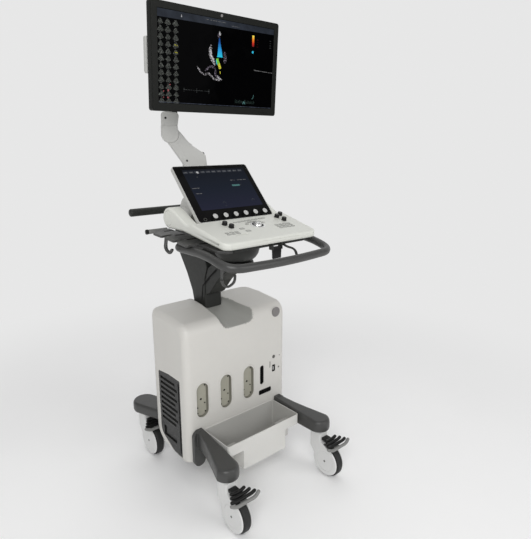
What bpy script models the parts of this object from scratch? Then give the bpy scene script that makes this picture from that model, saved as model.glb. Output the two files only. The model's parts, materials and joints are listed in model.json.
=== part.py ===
"""Ultrasound machine on four casters: body, lift column, control deck, touch panel, monitor arm.

Metres, +Z up. The front faces -Y, X = 0 is the plane of symmetry of the body, and the floor is
Z = 0. The shapes are drawn from a datum just in front of the body, and piece() places them so that
the origin is on the floor below the middle of the machine's overall width and length.
"""

from math import atan2, cos, pi, radians, sin, sqrt, tan

import bmesh
import bpy
from mathutils import Matrix, Vector

# Driving dimensions
DATUM = Vector((0, -0.046, 0))  # where the drawing's zero lies, from the origin
GAP = 0.0004  # between neighbouring pieces
WALL = 0.004  # moulded covers

WHEEL_R = 0.0625
WHEEL_HALF_W = 0.015
WHEEL_SIDES = 24
AXLE_Z = WHEEL_R * cos(pi / WHEEL_SIDES)  # a tread facet lies flat on the floor
TRAIL = 0.052  # swivel axis to wheel axle
CASTER_TOP = 0.1745
PIN_TOP = CASTER_TOP + 0.0275  # of the swivel pin, inside the leg
CASTERS = {
    "front_left": (-0.224, -0.206),
    "front_right": (0.224, -0.206),
    "rear_left": (-0.215, 0.362),
    "rear_right": (0.215, 0.362),
}
LEG_BOTTOM = 0.175
LEG_TOP = 0.220

BODY_HALF_W = 0.237
BODY_FRONT = 0.005
BODY_SIDE_BACK = 0.205
BODY_BACK = 0.262
BODY_BOTTOM = 0.103
BODY_TOP_SLOPE = 0.10
BODY_TOP_FRONT = 0.634  # height of the sloping top where it would meet the front plane
FRONT_EDGE_R = 0.026

PORT_X = (-0.1675, -0.062, 0.0465)
PORT_HALF_W = 0.0255
PORT_LOW = 0.277
PORT_HIGH = 0.411

COLUMN_HALF_W = 0.0385
COLUMN_FRONT = 0.163
COLUMN_BACK = 0.243
COLUMN_TOP = 0.955

DECK_AXIS_Y = 0.010
DECK_SWIVEL_Z = 0.838
DECK_HALF_W = 0.205
BARREL = (0.115, 0.998)  # y and z of the touch panel's tilt axis
BARREL_R = 0.035

TOUCH_LOW = Vector((0, -0.004, 0.989))  # lower edge of the glass, on the centre plane
TOUCH_HIGH = Vector((0, 0.160, 1.167))
TOUCH_HALF_W = 0.163

POST_Y = 0.267
ARM_HEADING = radians(151.6)  # the way the arm leans, about the post
ARM_HINGE = (-0.003, 1.150)  # along the heading, and height
KNUCKLE_HINGE = (0.085, 1.277)
KNUCKLE_TOP = 1.307

MONITOR_CENTRE = Vector((0, 0.084, 1.502))  # middle of the front face
MONITOR_HALF_W = 0.2575
MONITOR_HALF_H = 0.159
MONITOR_TILT = radians(3.6)
TILT_AXIS_DEPTH = 0.082  # behind the front face

MATERIALS = {  # colour, roughness, metallic
    "body_grey": ((0.56, 0.56, 0.53), 0.45, 0.0),
    "bin_grey": ((0.60, 0.60, 0.58), 0.50, 0.0),
    "deck_white": ((0.72, 0.73, 0.68), 0.40, 0.0),
    "arm_grey": ((0.60, 0.60, 0.58), 0.40, 0.0),
    "caster_grey": ((0.52, 0.52, 0.52), 0.40, 0.0),
    "dark_grey": ((0.075, 0.075, 0.075), 0.50, 0.0),
    "vent_grey": ((0.09, 0.09, 0.09), 0.55, 0.0),
    "black_plastic": ((0.02, 0.02, 0.02), 0.40, 0.0),
    "tyre": ((0.025, 0.025, 0.025), 0.75, 0.0),
    "port_beige": ((0.34, 0.34, 0.29), 0.50, 0.0),
    "screen_glass": ((0.01, 0.012, 0.02), 0.10, 0.0),
    "silver": ((0.75, 0.75, 0.74), 0.25, 0.8),
    "steel": ((0.45, 0.46, 0.47), 0.40, 1.0),
    "circuit_box": ((0.50, 0.51, 0.52), 0.45, 1.0),
}


# Frames: each maps an outline's (u, v) and its depth w to world axes
def frame(origin=(0, 0, 0), u=(1, 0, 0), v=(0, 1, 0)):
    u, v = Vector(u).normalized(), Vector(v).normalized()
    axes = Matrix((u, v, u.cross(v))).transposed().to_4x4()
    return Matrix.Translation(origin) @ axes


PLAN = frame()  # u = x, v = y, w = z
SIDE = frame(u=(0, 1, 0), v=(0, 0, 1))  # u = y, v = z, w = x
FRONT = frame(u=(1, 0, 0), v=(0, 0, 1))  # u = x, v = z, w = -y
HEADING = Vector((cos(ARM_HEADING), sin(ARM_HEADING), 0))
ARM = frame((0, POST_Y, 0), HEADING, (0, 0, 1))  # u = along the heading, v = z
TOUCH_UP = (TOUCH_HIGH - TOUCH_LOW).normalized()
TOUCH = frame(TOUCH_LOW, (1, 0, 0), TOUCH_UP)  # v = up the glass, w = out of it
MONITOR_UP = (0, -sin(MONITOR_TILT), cos(MONITOR_TILT))
MONITOR = frame(MONITOR_CENTRE, (1, 0, 0), MONITOR_UP)  # w = out of the screen
TILT_AXIS = MONITOR @ Vector((0, -0.012, -TILT_AXIS_DEPTH))


def clear_scene():
    for obj in list(bpy.data.objects):
        bpy.data.objects.remove(obj, do_unlink=True)


def material(name):
    found = bpy.data.materials.get(name)
    if found:
        return found
    colour, roughness, metallic = MATERIALS[name]
    made = bpy.data.materials.new(name)
    made.use_nodes = True
    shader = made.node_tree.nodes["Principled BSDF"]
    shader.inputs["Base Color"].default_value = (*colour, 1)
    shader.inputs["Roughness"].default_value = roughness
    shader.inputs["Metallic"].default_value = metallic
    made.diffuse_color = (*colour, 1)
    return made


def piece(name, mesh_builder, slot, pivot=(0, 0, 0), crease=35):
    """Turns a bmesh drawn from the datum into a named object whose origin is at its pivot."""
    bmesh.ops.recalc_face_normals(mesh_builder, faces=mesh_builder.faces)
    mesh_builder.transform(Matrix.Translation(-Vector(pivot)))
    mesh = bpy.data.meshes.new(name)
    mesh_builder.to_mesh(mesh)
    mesh_builder.free()
    mesh.shade_smooth()
    mesh.set_sharp_from_angle(angle=radians(crease))
    obj = bpy.data.objects.new(name, mesh)
    obj.location = Vector(pivot) + DATUM
    mesh.materials.append(material(slot))
    bpy.context.collection.objects.link(obj)
    return obj


def helper(name, mesh_builder):
    """A cutter or an addition: it is used by a Boolean, and is no piece itself."""
    obj = piece(name, mesh_builder, "steel")
    obj.hide_render = True
    obj.display_type = "WIRE"
    return obj


def combine(target, operation, *builders):
    for builder in builders:
        other = helper(f"{target.name}_{operation.lower()}_{len(target.modifiers)}", builder)
        modifier = target.modifiers.new(other.name, "BOOLEAN")
        modifier.operation = operation
        modifier.solver = "EXACT"
        modifier.object = other
    return target


def cut(target, *builders):
    return combine(target, "DIFFERENCE", *builders)


def join(target, *builders):
    return combine(target, "UNION", *builders)


def soften(target, width, segments=2, angle=40):
    modifier = target.modifiers.new("soft_edges", "BEVEL")
    modifier.width = width
    modifier.segments = segments
    modifier.limit_method = "ANGLE"
    modifier.angle_limit = radians(angle)
    modifier.use_clamp_overlap = True
    return target


# Outlines
def arc(centre, radius, start, end, steps):
    """Points on an arc, from the start angle to the end angle, in degrees."""
    angles = [radians(start + (end - start) * i / steps) for i in range(steps + 1)]
    return [(centre[0] + radius * cos(a), centre[1] + radius * sin(a)) for a in angles]


def circle(centre, radius, sides):
    return arc(centre, radius, 180 / sides, 360 + 180 / sides, sides)[:-1]


def rectangle(low, high):
    return [(low[0], low[1]), (high[0], low[1]), (high[0], high[1]), (low[0], high[1])]


def rounded(corners, radii, steps=4):
    """A closed outline whose corners are replaced by tangent arcs."""
    if not isinstance(radii, (list, tuple)):
        radii = [radii] * len(corners)
    points = []
    for i, corner in enumerate(corners):
        here = Vector(corner)
        back = (Vector(corners[i - 1]) - here).normalized()
        ahead = (Vector(corners[(i + 1) % len(corners)]) - here).normalized()
        if radii[i] <= 0:
            points.append(tuple(here))
            continue
        half = back.angle(ahead) / 2
        centre = here + (back + ahead).normalized() * (radii[i] / sin(half))
        start = here + back * (radii[i] / tan(half)) - centre
        end = here + ahead * (radii[i] / tan(half)) - centre
        first = atan2(start.y, start.x)
        turn = (atan2(end.y, end.x) - first + pi) % (2 * pi) - pi
        for k in range(steps + 1):
            angle = first + turn * k / steps
            points.append((centre.x + radii[i] * cos(angle), centre.y + radii[i] * sin(angle)))
    return points


def capsule(start, end, radius, steps=8):
    """The outline around a line, with round ends."""
    heading = atan2(end[1] - start[1], end[0] - start[0]) * 180 / pi
    return arc(end, radius, heading - 90, heading + 90, steps) + arc(
        start, radius, heading + 90, heading + 270, steps
    )


# Solids
def loft(rings):
    """Bridges rings of equal length in order, and closes both ends."""
    builder = bmesh.new()
    rows = [[builder.verts.new(point) for point in ring] for ring in rings]
    count = len(rows[0])
    for row, other in zip(rows, rows[1:]):
        for i in range(count):
            builder.faces.new((row[i], row[(i + 1) % count], other[(i + 1) % count], other[i]))
    builder.faces.new(reversed(rows[0]))
    builder.faces.new(rows[-1])
    return builder


def prism(outline, low, high, axes=PLAN):
    return loft([[axes @ Vector((u, v, w)) for u, v in outline] for w in (low, high)])


def box(low, high):
    return prism(rectangle(low[:2], high[:2]), low[2], high[2])


def cylinder(centre, radius, low, high, axes=PLAN, sides=24):
    return prism(circle(centre, radius, sides), low, high, axes)


def turned(profile, axes, sides=24):
    """A closed (radius, depth) profile turned about the frame's w axis. No radius may be zero."""
    builder = bmesh.new()
    rows = []
    for k in range(sides):
        a = 2 * pi * (k + 0.5) / sides
        row = [axes @ Vector((r * cos(a), r * sin(a), w)) for r, w in profile]
        rows.append([builder.verts.new(point) for point in row])
    count = len(profile)
    for k in range(sides):
        row, other = rows[k], rows[(k + 1) % sides]
        for i in range(count):
            builder.faces.new((row[i], row[(i + 1) % count], other[(i + 1) % count], other[i]))
    return builder


def stacked(sections, centre, axes, sides=20):
    """A solid of round sections, given as (radius, depth), closed by flat ends."""
    return loft(
        [[axes @ Vector((u, v, w)) for u, v in circle(centre, r, sides)] for r, w in sections]
    )


def bent(corners, radii, steps=4):
    """A path through 3-D corners, each rounded by a smooth bend."""
    path = [Vector(corners[0])]
    for i in range(1, len(corners) - 1):
        here = Vector(corners[i])
        start = here + (Vector(corners[i - 1]) - here).normalized() * radii[i - 1]
        end = here + (Vector(corners[i + 1]) - here).normalized() * radii[i - 1]
        for k in range(steps + 1):
            t = k / steps
            path.append(start * (1 - t) ** 2 + here * 2 * t * (1 - t) + end * t**2)
    path.append(Vector(corners[-1]))
    return path


def tube(path, half_w, half_h, sides=12, up=(0, 0, 1), ends=0.5):
    """Sweeps an oval along a path, with ends drawn in to a smaller oval."""
    rings = []
    last = len(path) - 1
    for i, point in enumerate(path):
        before, after = max(i - 1, 0), min(i + 1, last)
        along = (path[after] - path[before]).normalized()
        across = along.cross(Vector(up)).normalized()
        over = across.cross(along)
        ring = [across * half_w * u + over * half_h * v for u, v in circle((0, 0), 1, sides)]
        if i in (0, last):
            shift = along * half_h * ends * (-1 if i == 0 else 1)
            cap = [point + shift + offset * 0.6 for offset in ring]
        body = [point + offset for offset in ring]
        if i == 0:
            rings.append(cap)
        rings.append(body)
        if i == last:
            rings.append(cap)
    return loft(rings)


# Body
def body_solid(inset=0.0, open_bottom=0.0):
    """The body's outside, or its inside when inset: rounded side profiles lofted along X."""
    half_w = BODY_HALF_W - inset
    back_r = BODY_BACK - BODY_SIDE_BACK
    xs = [half_w - back_r * (1 - sin(radians(a))) for a in (0, 25, 47, 68, 90)]
    xs.insert(0, 0.09)
    rings = []
    for x in [-x for x in reversed(xs)] + xs:
        over = max(0.0, abs(x) - (half_w - FRONT_EDGE_R))
        front_in = FRONT_EDGE_R - sqrt(FRONT_EDGE_R**2 - over**2)
        beyond = max(0.0, abs(x) - (half_w - back_r))
        back = BODY_SIDE_BACK - inset + sqrt(max(0.0, back_r**2 - beyond**2))
        front = BODY_FRONT + inset + front_in
        top = BODY_TOP_FRONT - inset - front_in * 0.8
        bottom = BODY_BOTTOM + inset - open_bottom + front_in * 0.2
        corners = [
            (front, bottom),
            (back, bottom + 0.02),
            (back, top + BODY_TOP_SLOPE * 0.15),
            (0.155, top + BODY_TOP_SLOPE * 0.15),
            (front, top + BODY_TOP_SLOPE * front),
        ]
        ring = rounded(corners, [0.012, 0.062, 0.024, 0.06, 0.045], 4)
        rings.append([Vector((x, y, z)) for y, z in ring])
    return loft(rings)


def scoop_solid(grow=0.0):
    """The U-shaped trough in front of the column, wider towards the front."""
    rings = []
    for y, half_w, floor in ((-0.03, 0.082, 0.580), (0.05, 0.070, 0.600), (0.256, 0.052, 0.629)):
        half_w, floor = half_w + grow, floor - grow
        corners = [(-half_w, 0.74), (-half_w, floor), (half_w, floor), (half_w, 0.74)]
        ring = rounded(corners, [0, 0.030, 0.030, 0], 6)
        rings.append([Vector((x, y, z)) for x, z in ring])
    return loft(rings)


def slot_outline(x, low, high, half_w):
    return capsule((x, low + half_w), (x, high - half_w), half_w, 6)


def vent_outline(grow=0.0):
    front, back, low, high = 0.047, 0.196, 0.116, 0.424
    corners = [
        (front - grow, low - grow),
        (0.105, low - grow),
        (back + grow, 0.163),
        (back + grow, high - 0.006 + grow),
        (0.12, high + 0.002 + grow),
        (front - grow, high + grow),
    ]
    return rounded(corners, [0.004, 0.05, 0.04, 0.006, 0.05, 0.004], 3)


def make_body():
    shell = piece("body_shell", body_solid(), "body_grey")
    inside = helper("body_inside", body_solid(WALL, 0.05))
    cut(inside, scoop_solid(WALL))
    cut(shell, scoop_solid())
    hollow = shell.modifiers.new("inside", "BOOLEAN")
    hollow.solver = "EXACT"
    hollow.object = inside
    cut(shell, box((-0.30, -0.02, 0.02), (0.30, BODY_SIDE_BACK - 0.04, BODY_BOTTOM + 0.0005)))
    column_hole = (COLUMN_HALF_W + 0.0015, COLUMN_FRONT - 0.0015, COLUMN_BACK + 0.0015)
    cut(
        shell,
        box((-column_hole[0], column_hole[1], 0.50), (column_hole[0], column_hole[2], 0.70)),
        prism(vent_outline(GAP), -0.30, -0.20, SIDE),
        prism(vent_outline(GAP), 0.20, 0.30, SIDE),
        box((-0.13, 0.22, 0.224), (0.13, 0.30, 0.55)),
    )
    for x in PORT_X:
        cut(shell, prism(slot_outline(x, PORT_LOW, PORT_HIGH, PORT_HALF_W), -0.03, 0.03, FRONT))
    for outline in io_openings(GAP):
        cut(shell, prism(outline, -0.03, 0.03, FRONT))
    for side in (-1, 1):
        leg = capsule((side * 0.158, 0.205), (side * 0.215, 0.364), 0.0495)
        cut(shell, prism(leg, 0.05, LEG_TOP + 0.002))

    cover = rounded(rectangle((-0.136, 0.2215), (0.136, 0.556)), 0.012, 3)
    rear_cover = piece("rear_cover", prism(cover, -0.2705, -0.2665, FRONT), "vent_grey")
    inner = rectangle((-0.1294, 0.2246), (0.1294, 0.5494))
    join(rear_cover, prism(inner, -0.2667, -0.255, FRONT))
    for row in range(6):
        low = 0.42 + row * 0.018
        cut(rear_cover, prism(rectangle((-0.09, low), (0.09, low + 0.007)), -0.28, -0.25, FRONT))


def io_openings(grow=0.0):
    """Outlines of the small front connectors: slim port, wide connector, and four sockets."""
    return [
        slot_outline(0.114, 0.313 - grow, 0.393 + grow, 0.0095 + grow),
        rounded(rectangle((0.098 - grow, 0.273 - grow), (0.162 + grow, 0.288 + grow)), 0.004, 3),
        circle((0.176, 0.414), 0.007 + grow, 16),
        rounded(rectangle((0.168 - grow, 0.350 - grow), (0.184 + grow, 0.379 + grow)), 0.003, 3),
        circle((0.203, 0.362), 0.0035 + grow, 12),
        rectangle((0.155 - grow, 0.371 - grow), (0.158 + grow, 0.398 + grow)),
    ]


def make_side_vents():
    for side, name in ((-1, "left"), (1, "right")):
        low, high = sorted((side * (BODY_HALF_W - 0.0012), side * (BODY_HALF_W - 0.009)))
        panel = piece(f"side_vent_{name}", prism(vent_outline(), low, high, SIDE), "vent_grey")
        for row in range(9):
            z = 0.222 + row * 0.0205
            start = 0.072 if row % 2 else 0.084
            outline = rectangle((start, z), (0.178, z + 0.0085))
            cut(panel, prism(outline, min(low, high) - 0.002, max(low, high) + 0.002, SIDE))
        pocket = sorted((side * (BODY_HALF_W - 0.0055), side * (BODY_HALF_W + 0.001)))
        cut(panel, prism(rectangle((0.084, 0.160), (0.172, 0.196)), *pocket, SIDE))


def make_front_ports():
    for x, name in zip(PORT_X, ("left", "middle", "right")):
        half = PORT_HALF_W + 0.004
        corners = rectangle((x - half, PORT_LOW - 0.004), (x + half, PORT_HIGH + 0.004))
        back = prism(rounded(corners, 0.012, 3), -0.034, -BODY_FRONT - WALL - GAP, FRONT)
        port = piece(f"probe_port_{name}", back, "port_beige")
        cut(port, cylinder((x, (PORT_LOW + PORT_HIGH) / 2), 0.004, -0.02, 0, FRONT, 16))

    board = prism(rectangle((0.090, 0.266), (0.214, 0.428)), -0.020, -0.0115, FRONT)
    panel = piece("io_panel", board, "black_plastic")
    join(panel, *[prism(outline, -0.0120, -0.0070, FRONT) for outline in io_openings(-GAP)])


def bin_well(front, back, inset):
    """The deep part of the bin in plan: its front corners are notched to clear the casters."""
    side, narrow, notch = 0.1665 - inset, 0.101 - inset, -0.088 + inset
    front, back = front + inset, back - inset
    corners = [
        (-side, back),
        (-side, notch),
        (-narrow, notch),
        (-narrow, front),
        (narrow, front),
        (narrow, notch),
        (side, notch),
        (side, back),
    ]
    r = 0.0065 - inset
    return rounded(corners, [r, r, 0, r, r, 0, r, r], 3)


def make_bin():
    front, back = -0.146, BODY_FRONT - GAP
    rim, step, floor = 0.227, 0.186, 0.108
    wall = 0.003
    upper = rounded(rectangle((-0.170, front), (0.170, back)), 0.008, 3)
    front_bin = piece("front_bin", prism(upper, step, rim), "bin_grey")
    join(front_bin, prism(bin_well(front + 0.002, back - 0.002, 0.0), floor, step + 0.001))
    inside = rectangle((-0.170 + wall, front + wall), (0.170 - wall, back - wall))
    cut(
        front_bin,
        prism(rounded(inside, 0.005, 3), step + wall, rim + 0.02),
        prism(bin_well(front + 0.002, back - 0.002, wall), floor + wall, step + 0.02),
    )


# Base
def make_base():
    plate = rounded(rectangle((-0.17, 0.030), (0.17, 0.235)), 0.02, 3)
    base = piece("base_frame", prism(plate, 0.111, 0.131), "dark_grey")
    profile = [
        (0.044, LEG_BOTTOM + 0.002),
        (0.048, LEG_BOTTOM + 0.013),
        (0.048, LEG_TOP - 0.010),
        (0.043, LEG_TOP),
    ]
    for side in (-1, 1):
        inner, cap = (side * 0.158, 0.205), (side * 0.215, 0.364)
        leg = [[Vector((x, y, z)) for x, y in capsule(inner, cap, r, 10)] for r, z in profile]
        join(base, loft(leg), cylinder(inner, 0.012, 0.120, 0.19, PLAN, 16))
    for side in (-1, 1):
        x, y = CASTERS["rear_left"]
        cut(base, cylinder((side * x, y), 0.0102, 0.15, PIN_TOP + 0.005, PLAN, 12))


def make_front_legs():
    for side, name in ((-1, "front_left"), (1, "front_right")):
        end = Vector((side * 0.222, -0.206))
        end_r = 0.042
        tip = arc(end, end_r, 180, 360, 12)
        if side < 0:
            root = [(-0.1765, -0.02), (-0.1765, BODY_FRONT - GAP), (-0.2100, BODY_FRONT - GAP)]
            outline = tip + root + [(-0.2150, -0.06)]
        else:
            root = [(0.2150, -0.06), (0.2100, BODY_FRONT - GAP), (0.1765, BODY_FRONT - GAP)]
            outline = tip + root + [(0.1765, -0.02)]
        leg = piece(f"leg_{name}", leg_loft(outline, end, side), "dark_grey", crease=50)
        pillar = slot_outline(side * 0.197, 0.097, 0.240, 0.0240)
        join(leg, prism(pillar, -BODY_FRONT + GAP, 0.012, FRONT))
        x, y = CASTERS["front_left"]
        cut(leg, cylinder((side * abs(x), y), 0.0102, 0.15, PIN_TOP + 0.004))


def leg_loft(outline, end, side):
    """A leg whose top slopes down to the front, with its edges drawn in towards its spine."""
    rings = []
    for share, height in ((0.94, 0.0), (1.0, 0.12), (1.0, 0.72), (0.96, 0.93), (0.86, 1.0)):
        ring = []
        for u, v in outline:
            top = LEG_TOP + 0.020 * min(1.0, max(0.0, (v - end.y) / 0.20))
            spine = Vector((side * (0.200 + 0.022 * min(1.0, max(0.0, -v / 0.206))), v))
            centre = end if v < end.y else spine
            x = centre.x + (u - centre.x) * share
            y = centre.y + (v - centre.y) * share
            ring.append(Vector((x, y, LEG_BOTTOM + (top - LEG_BOTTOM) * height)))
        rings.append(ring)
    return loft(rings)


# Casters
def caster_outline(y, top):
    """Side view of a caster housing: a disc beside the wheel that runs up into the neck."""
    wheel = (y - TRAIL, AXLE_Z)
    disc = arc(wheel, 0.0575, 10, -255, 18)
    return disc + [(y - 0.026, top - 0.026), (y - 0.026, top), (y + 0.026, top), (y + 0.026, 0.10)]


def make_casters():
    for name, (x, y) in CASTERS.items():
        neck_top = CASTER_TOP - 0.010
        at_x = frame((x, 0, 0), (0, 1, 0), (0, 0, 1))
        outline = caster_outline(y, neck_top)
        housing = piece(
            f"caster_{name}", prism(outline, -0.0215, 0.0215, at_x), "caster_grey", (x, y, 0.12)
        )
        cut(housing, cylinder((y - TRAIL, AXLE_Z), 0.0665, -0.0165, 0.0165, at_x, 24))
        join(
            housing,
            cylinder((y - TRAIL, AXLE_Z), 0.005, -0.0205, 0.0205, at_x, 12),
            cylinder((x, y), 0.0245, neck_top - 0.004, CASTER_TOP, PLAN, 16),
            cylinder((x, y), 0.0093, CASTER_TOP - 0.002, PIN_TOP, PLAN, 12),
        )

        axle = frame((x, y - TRAIL, AXLE_Z), (0, 1, 0), (0, 0, 1))
        w = WHEEL_HALF_W
        tread = [(WHEEL_R, -w + 0.006), (WHEEL_R, w - 0.006), (0.058, w - 0.001), (0.050, w)]
        hub = [(0.046, w - 0.003), (0.0053, w - 0.003), (0.0053, -w + 0.003), (0.046, -w + 0.003)]
        sides = [(0.050, -w), (0.058, -w + 0.001)]
        wheel = turned(tread + hub + sides, axle, WHEEL_SIDES)
        piece(f"wheel_{name}", wheel, "tyre", (x, y - TRAIL, AXLE_Z), 50)

        hinge = (x, y - 0.030, 0.1435)
        piece(f"brake_pedal_{name}", pedal_solid(x, hinge[1]), "black_plastic", hinge)


def pedal_solid(x, hinge_y):
    """A T-shaped foot pedal: a stem in front of the neck, and a cross bar."""
    underside = 0.1395
    stem, bar = 0.016, 0.052
    back, middle, front = hinge_y + 0.0025, hinge_y - 0.042, hinge_y - 0.078
    outline = [
        (x - stem, back),
        (x - stem, middle),
        (x - bar, middle - 0.004),
        (x - bar + 0.004, front + 0.006),
        (x - 0.02, front),
        (x + 0.02, front),
        (x + bar - 0.004, front + 0.006),
        (x + bar, middle - 0.004),
        (x + stem, middle),
        (x + stem, back),
    ]
    rings = []
    for share, lift in ((0.94, 0.0), (1.0, 0.003), (1.0, 0.008), (0.94, 0.011)):
        ring = [(x + (u - x) * share, v, underside + lift + (hinge_y - v) * 0.05) for u, v in outline]
        rings.append([Vector(point) for point in ring])
    return loft(rings)


# Inside the body
def make_inside():
    rack = piece("electronics_rack", box((-0.19, 0.045, 0.252), (0.19, 0.144, 0.56)), "circuit_box")
    fan = frame((-0.19, 0.094, 0.32), (0, 1, 0), (0, 0, 1))
    join(rack, cylinder((0, 0), 0.004, -0.030, 0.005, fan, 12))
    piece("power_supply", box((-0.15, 0.045, 0.1315), (0.15, 0.144, 0.2515)), "circuit_box")

    hub = [(0.016, -0.026), (0.0043, -0.026), (0.0043, -0.008), (0.016, -0.008)]
    blades = 5
    rotor = piece("fan_rotor", turned(hub, fan, 14), "black_plastic", fan.translation)
    for k in range(blades):
        turn = Matrix.Rotation(2 * pi * k / blades, 4, "Z") @ Matrix.Rotation(radians(35), 4, "X")
        blade = fan @ Matrix.Translation((0, 0, -0.017)) @ turn
        join(rotor, prism(rectangle((0.012, -0.0095), (0.048, 0.0095)), -0.001, 0.001, blade))

    outer = rectangle((-0.046, 0.150), (0.046, 0.251))
    sleeve = piece("column_sleeve", prism(outer, 0.1315, 0.560), "steel")
    gap = 0.001
    bore = rectangle(
        (-COLUMN_HALF_W - gap, COLUMN_FRONT - gap), (COLUMN_HALF_W + gap, COLUMN_BACK + gap)
    )
    cut(sleeve, prism(bore, 0.140, 0.60))
    cut(sleeve, cylinder((0, 0.203), 0.01, 0.12, 0.15))


# Lift column, with everything it carries
def make_column():
    back = [(COLUMN_BACK, 0.20), (COLUMN_BACK, 0.645), (0.252, 0.680), (0.286, 0.745)]
    top = [(0.352, 0.842), (0.362, 0.900), (0.362, COLUMN_TOP), (0.215, COLUMN_TOP), (0.200, 0.880)]
    front = [(0.158, 0.824), (0.1445, 0.792), (COLUMN_FRONT, 0.740), (COLUMN_FRONT, 0.20)]
    outline = back + top + front
    column = prism(outline, -COLUMN_HALF_W, COLUMN_HALF_W, SIDE)
    column = soften(piece("lift_column", column, "dark_grey"), 0.004, 2, 30)
    wall = 0.006
    low, high = COLUMN_FRONT + wall, COLUMN_BACK - wall
    bore = box((wall - COLUMN_HALF_W, low, 0.19), (COLUMN_HALF_W - wall, high, 0.63))
    cut(column, bore)

    front_edge = COLUMN_FRONT - GAP
    bracket = [
        (front_edge, 0.676),
        (front_edge, 0.738),
        (0.1435, 0.788),
        (0.090, 0.826),
        (0.075, 0.836),
        (-0.045, 0.836),
        (-0.045, 0.822),
        (0.020, 0.802),
        (0.085, 0.748),
        (0.135, 0.690),
    ]
    bracket = piece("deck_bracket", prism(bracket, -0.036, 0.036, SIDE), "dark_grey")
    join(bracket, cylinder((0, DECK_AXIS_Y), 0.060, 0.818, DECK_SWIVEL_Z - 0.001, PLAN, 20))
    join(bracket, cylinder((0, DECK_AXIS_Y), 0.012, 0.830, DECK_SWIVEL_Z + 0.018, PLAN, 16))

    half = 0.237
    y, z = 0.350, 0.993
    grip = bent([(-half, y, z), (0, y, z), (half, y, z)], [0.05], 1)
    rear = piece("rear_handle", tube(grip, 0.0145, 0.0145, 14, ends=0.8), "dark_grey")
    for side in (-1, 1):
        x = side * 0.028
        foot = Vector((x, y - 0.015, COLUMN_TOP + GAP))
        stay = [Vector((x, y, z)), foot + Vector((0, 0, 0.015)), foot]
        join(rear, tube(stay, 0.010, 0.012, 10, up=(1, 0, 0), ends=0.0))


def make_arm_post():
    post = [(0.046, COLUMN_TOP + GAP), (0.046, 1.010), (0.040, 1.030), (0.040, 1.0795)]
    post = stacked(post, (0, POST_Y), PLAN, 24)
    post = piece("arm_post", post, "arm_grey")
    join(post, cylinder((0, POST_Y), 0.012, 1.06, 1.090, PLAN, 16))


# Control deck
DECK_AXIS = (0, DECK_AXIS_Y, DECK_SWIVEL_Z)
DECK_SLOPE = 0.24
LEVER_HINGE = (-0.184, 0.913)  # y and z
KNOBS = {
    "knob_left_rear": (-0.099, -0.055),
    "knob_left_front": (-0.092, -0.082),
    "knob_right_rear": (0.167, -0.034),
    "knob_right_middle": (0.139, -0.048),
    "knob_right_front": (0.145, -0.080),
}
BALL = (0.016, -0.088)
BALL_R = 0.0165


def deck_top(y):
    return 0.9525 + DECK_SLOPE * (y + 0.185)


def deck_seat(x, y):
    """A frame on the deck's sloping top, with w out of the surface."""
    return frame((x, y, deck_top(y)), (1, 0, 0), (0, 1, DECK_SLOPE))


def deck_outline():
    """Plan of the deck: nearly straight at the front, a little wider towards the barrel."""
    front, back, flare = -0.194, 0.152, 0.007
    corners = [
        (-DECK_HALF_W + 0.004, front),
        (DECK_HALF_W - 0.004, front),
        (DECK_HALF_W + flare, back),
        (-DECK_HALF_W - flare, back),
    ]
    return rounded(corners, [0.030, 0.030, 0.012, 0.012], 5)


def make_deck_shell():
    under = [(-0.22, 0.9229), (0.030, 0.962)]
    barrel = arc(BARREL, BARREL_R + 0.0005, -90, 105, 12)
    top = [(0.072, 1.019), (0.035, 0.998), (0.003, 0.984), (-0.020, deck_top(-0.020))]
    side_view = under + barrel + top + [(-0.22, deck_top(-0.22))]
    shell = piece("deck_shell", prism(side_view, -0.23, 0.23, SIDE), "deck_white", DECK_AXIS)
    plan = shell.modifiers.new("plan", "BOOLEAN")
    plan.operation = "INTERSECT"
    plan.solver = "EXACT"
    plan.object = helper("deck_plan", prism(deck_outline(), 0.90, 1.06))
    soften(shell, 0.005, 2, 50)
    inner = TOUCH_HALF_W + 0.0025
    cut(
        shell,
        prism(circle(BARREL, BARREL_R + 0.003, 24), -inner, inner, SIDE),
        box((-inner, -0.0015, 0.975), (inner, 0.20, 1.08)),
        box((-inner, 0.092, 0.93), (inner, 0.20, 1.00)),
        prism(circle(BARREL, 0.0105, 16), -0.19, 0.19, SIDE),
        box((-0.1625, -0.180, 0.90), (0.1625, 0.088, 0.9375)),
        cylinder((0, 0), 0.0208, -0.045, 0.02, deck_seat(*BALL), 20),
    )


def make_deck_base():
    floor = rounded(rectangle((-0.160, -0.178), (0.160, 0.085)), 0.02, 4)
    base = piece("deck_base", prism(floor, 0.918, 0.937), "dark_grey", DECK_AXIS)
    pod = [(0.045, DECK_SWIVEL_Z + 0.0005), (0.066, 0.850), (0.080, 0.872), (0.084, 0.925)]
    join(base, stacked(pod, (0, DECK_AXIS_Y), PLAN, 20))
    cut(base, cylinder((0, DECK_AXIS_Y), 0.0125, 0.82, 0.862, PLAN, 16))
    y, z = LEVER_HINGE
    for x in (-0.006, 0.034):
        join(base, box((x, y - 0.006, z - 0.007), (x + 0.004, y + 0.014, z + 0.013)))
    claw = [(0.052, -0.165, 0.922), (0.052, -0.196, 0.912), (0.078, -0.206, 0.904)]
    claw = bent(claw + [(0.094, -0.200, 0.878)], [0.012, 0.018], 2)
    join(base, prism(circle((y, z), 0.0025, 12), -0.004, 0.036, SIDE), tube(claw, 0.004, 0.004, 6))


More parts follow.
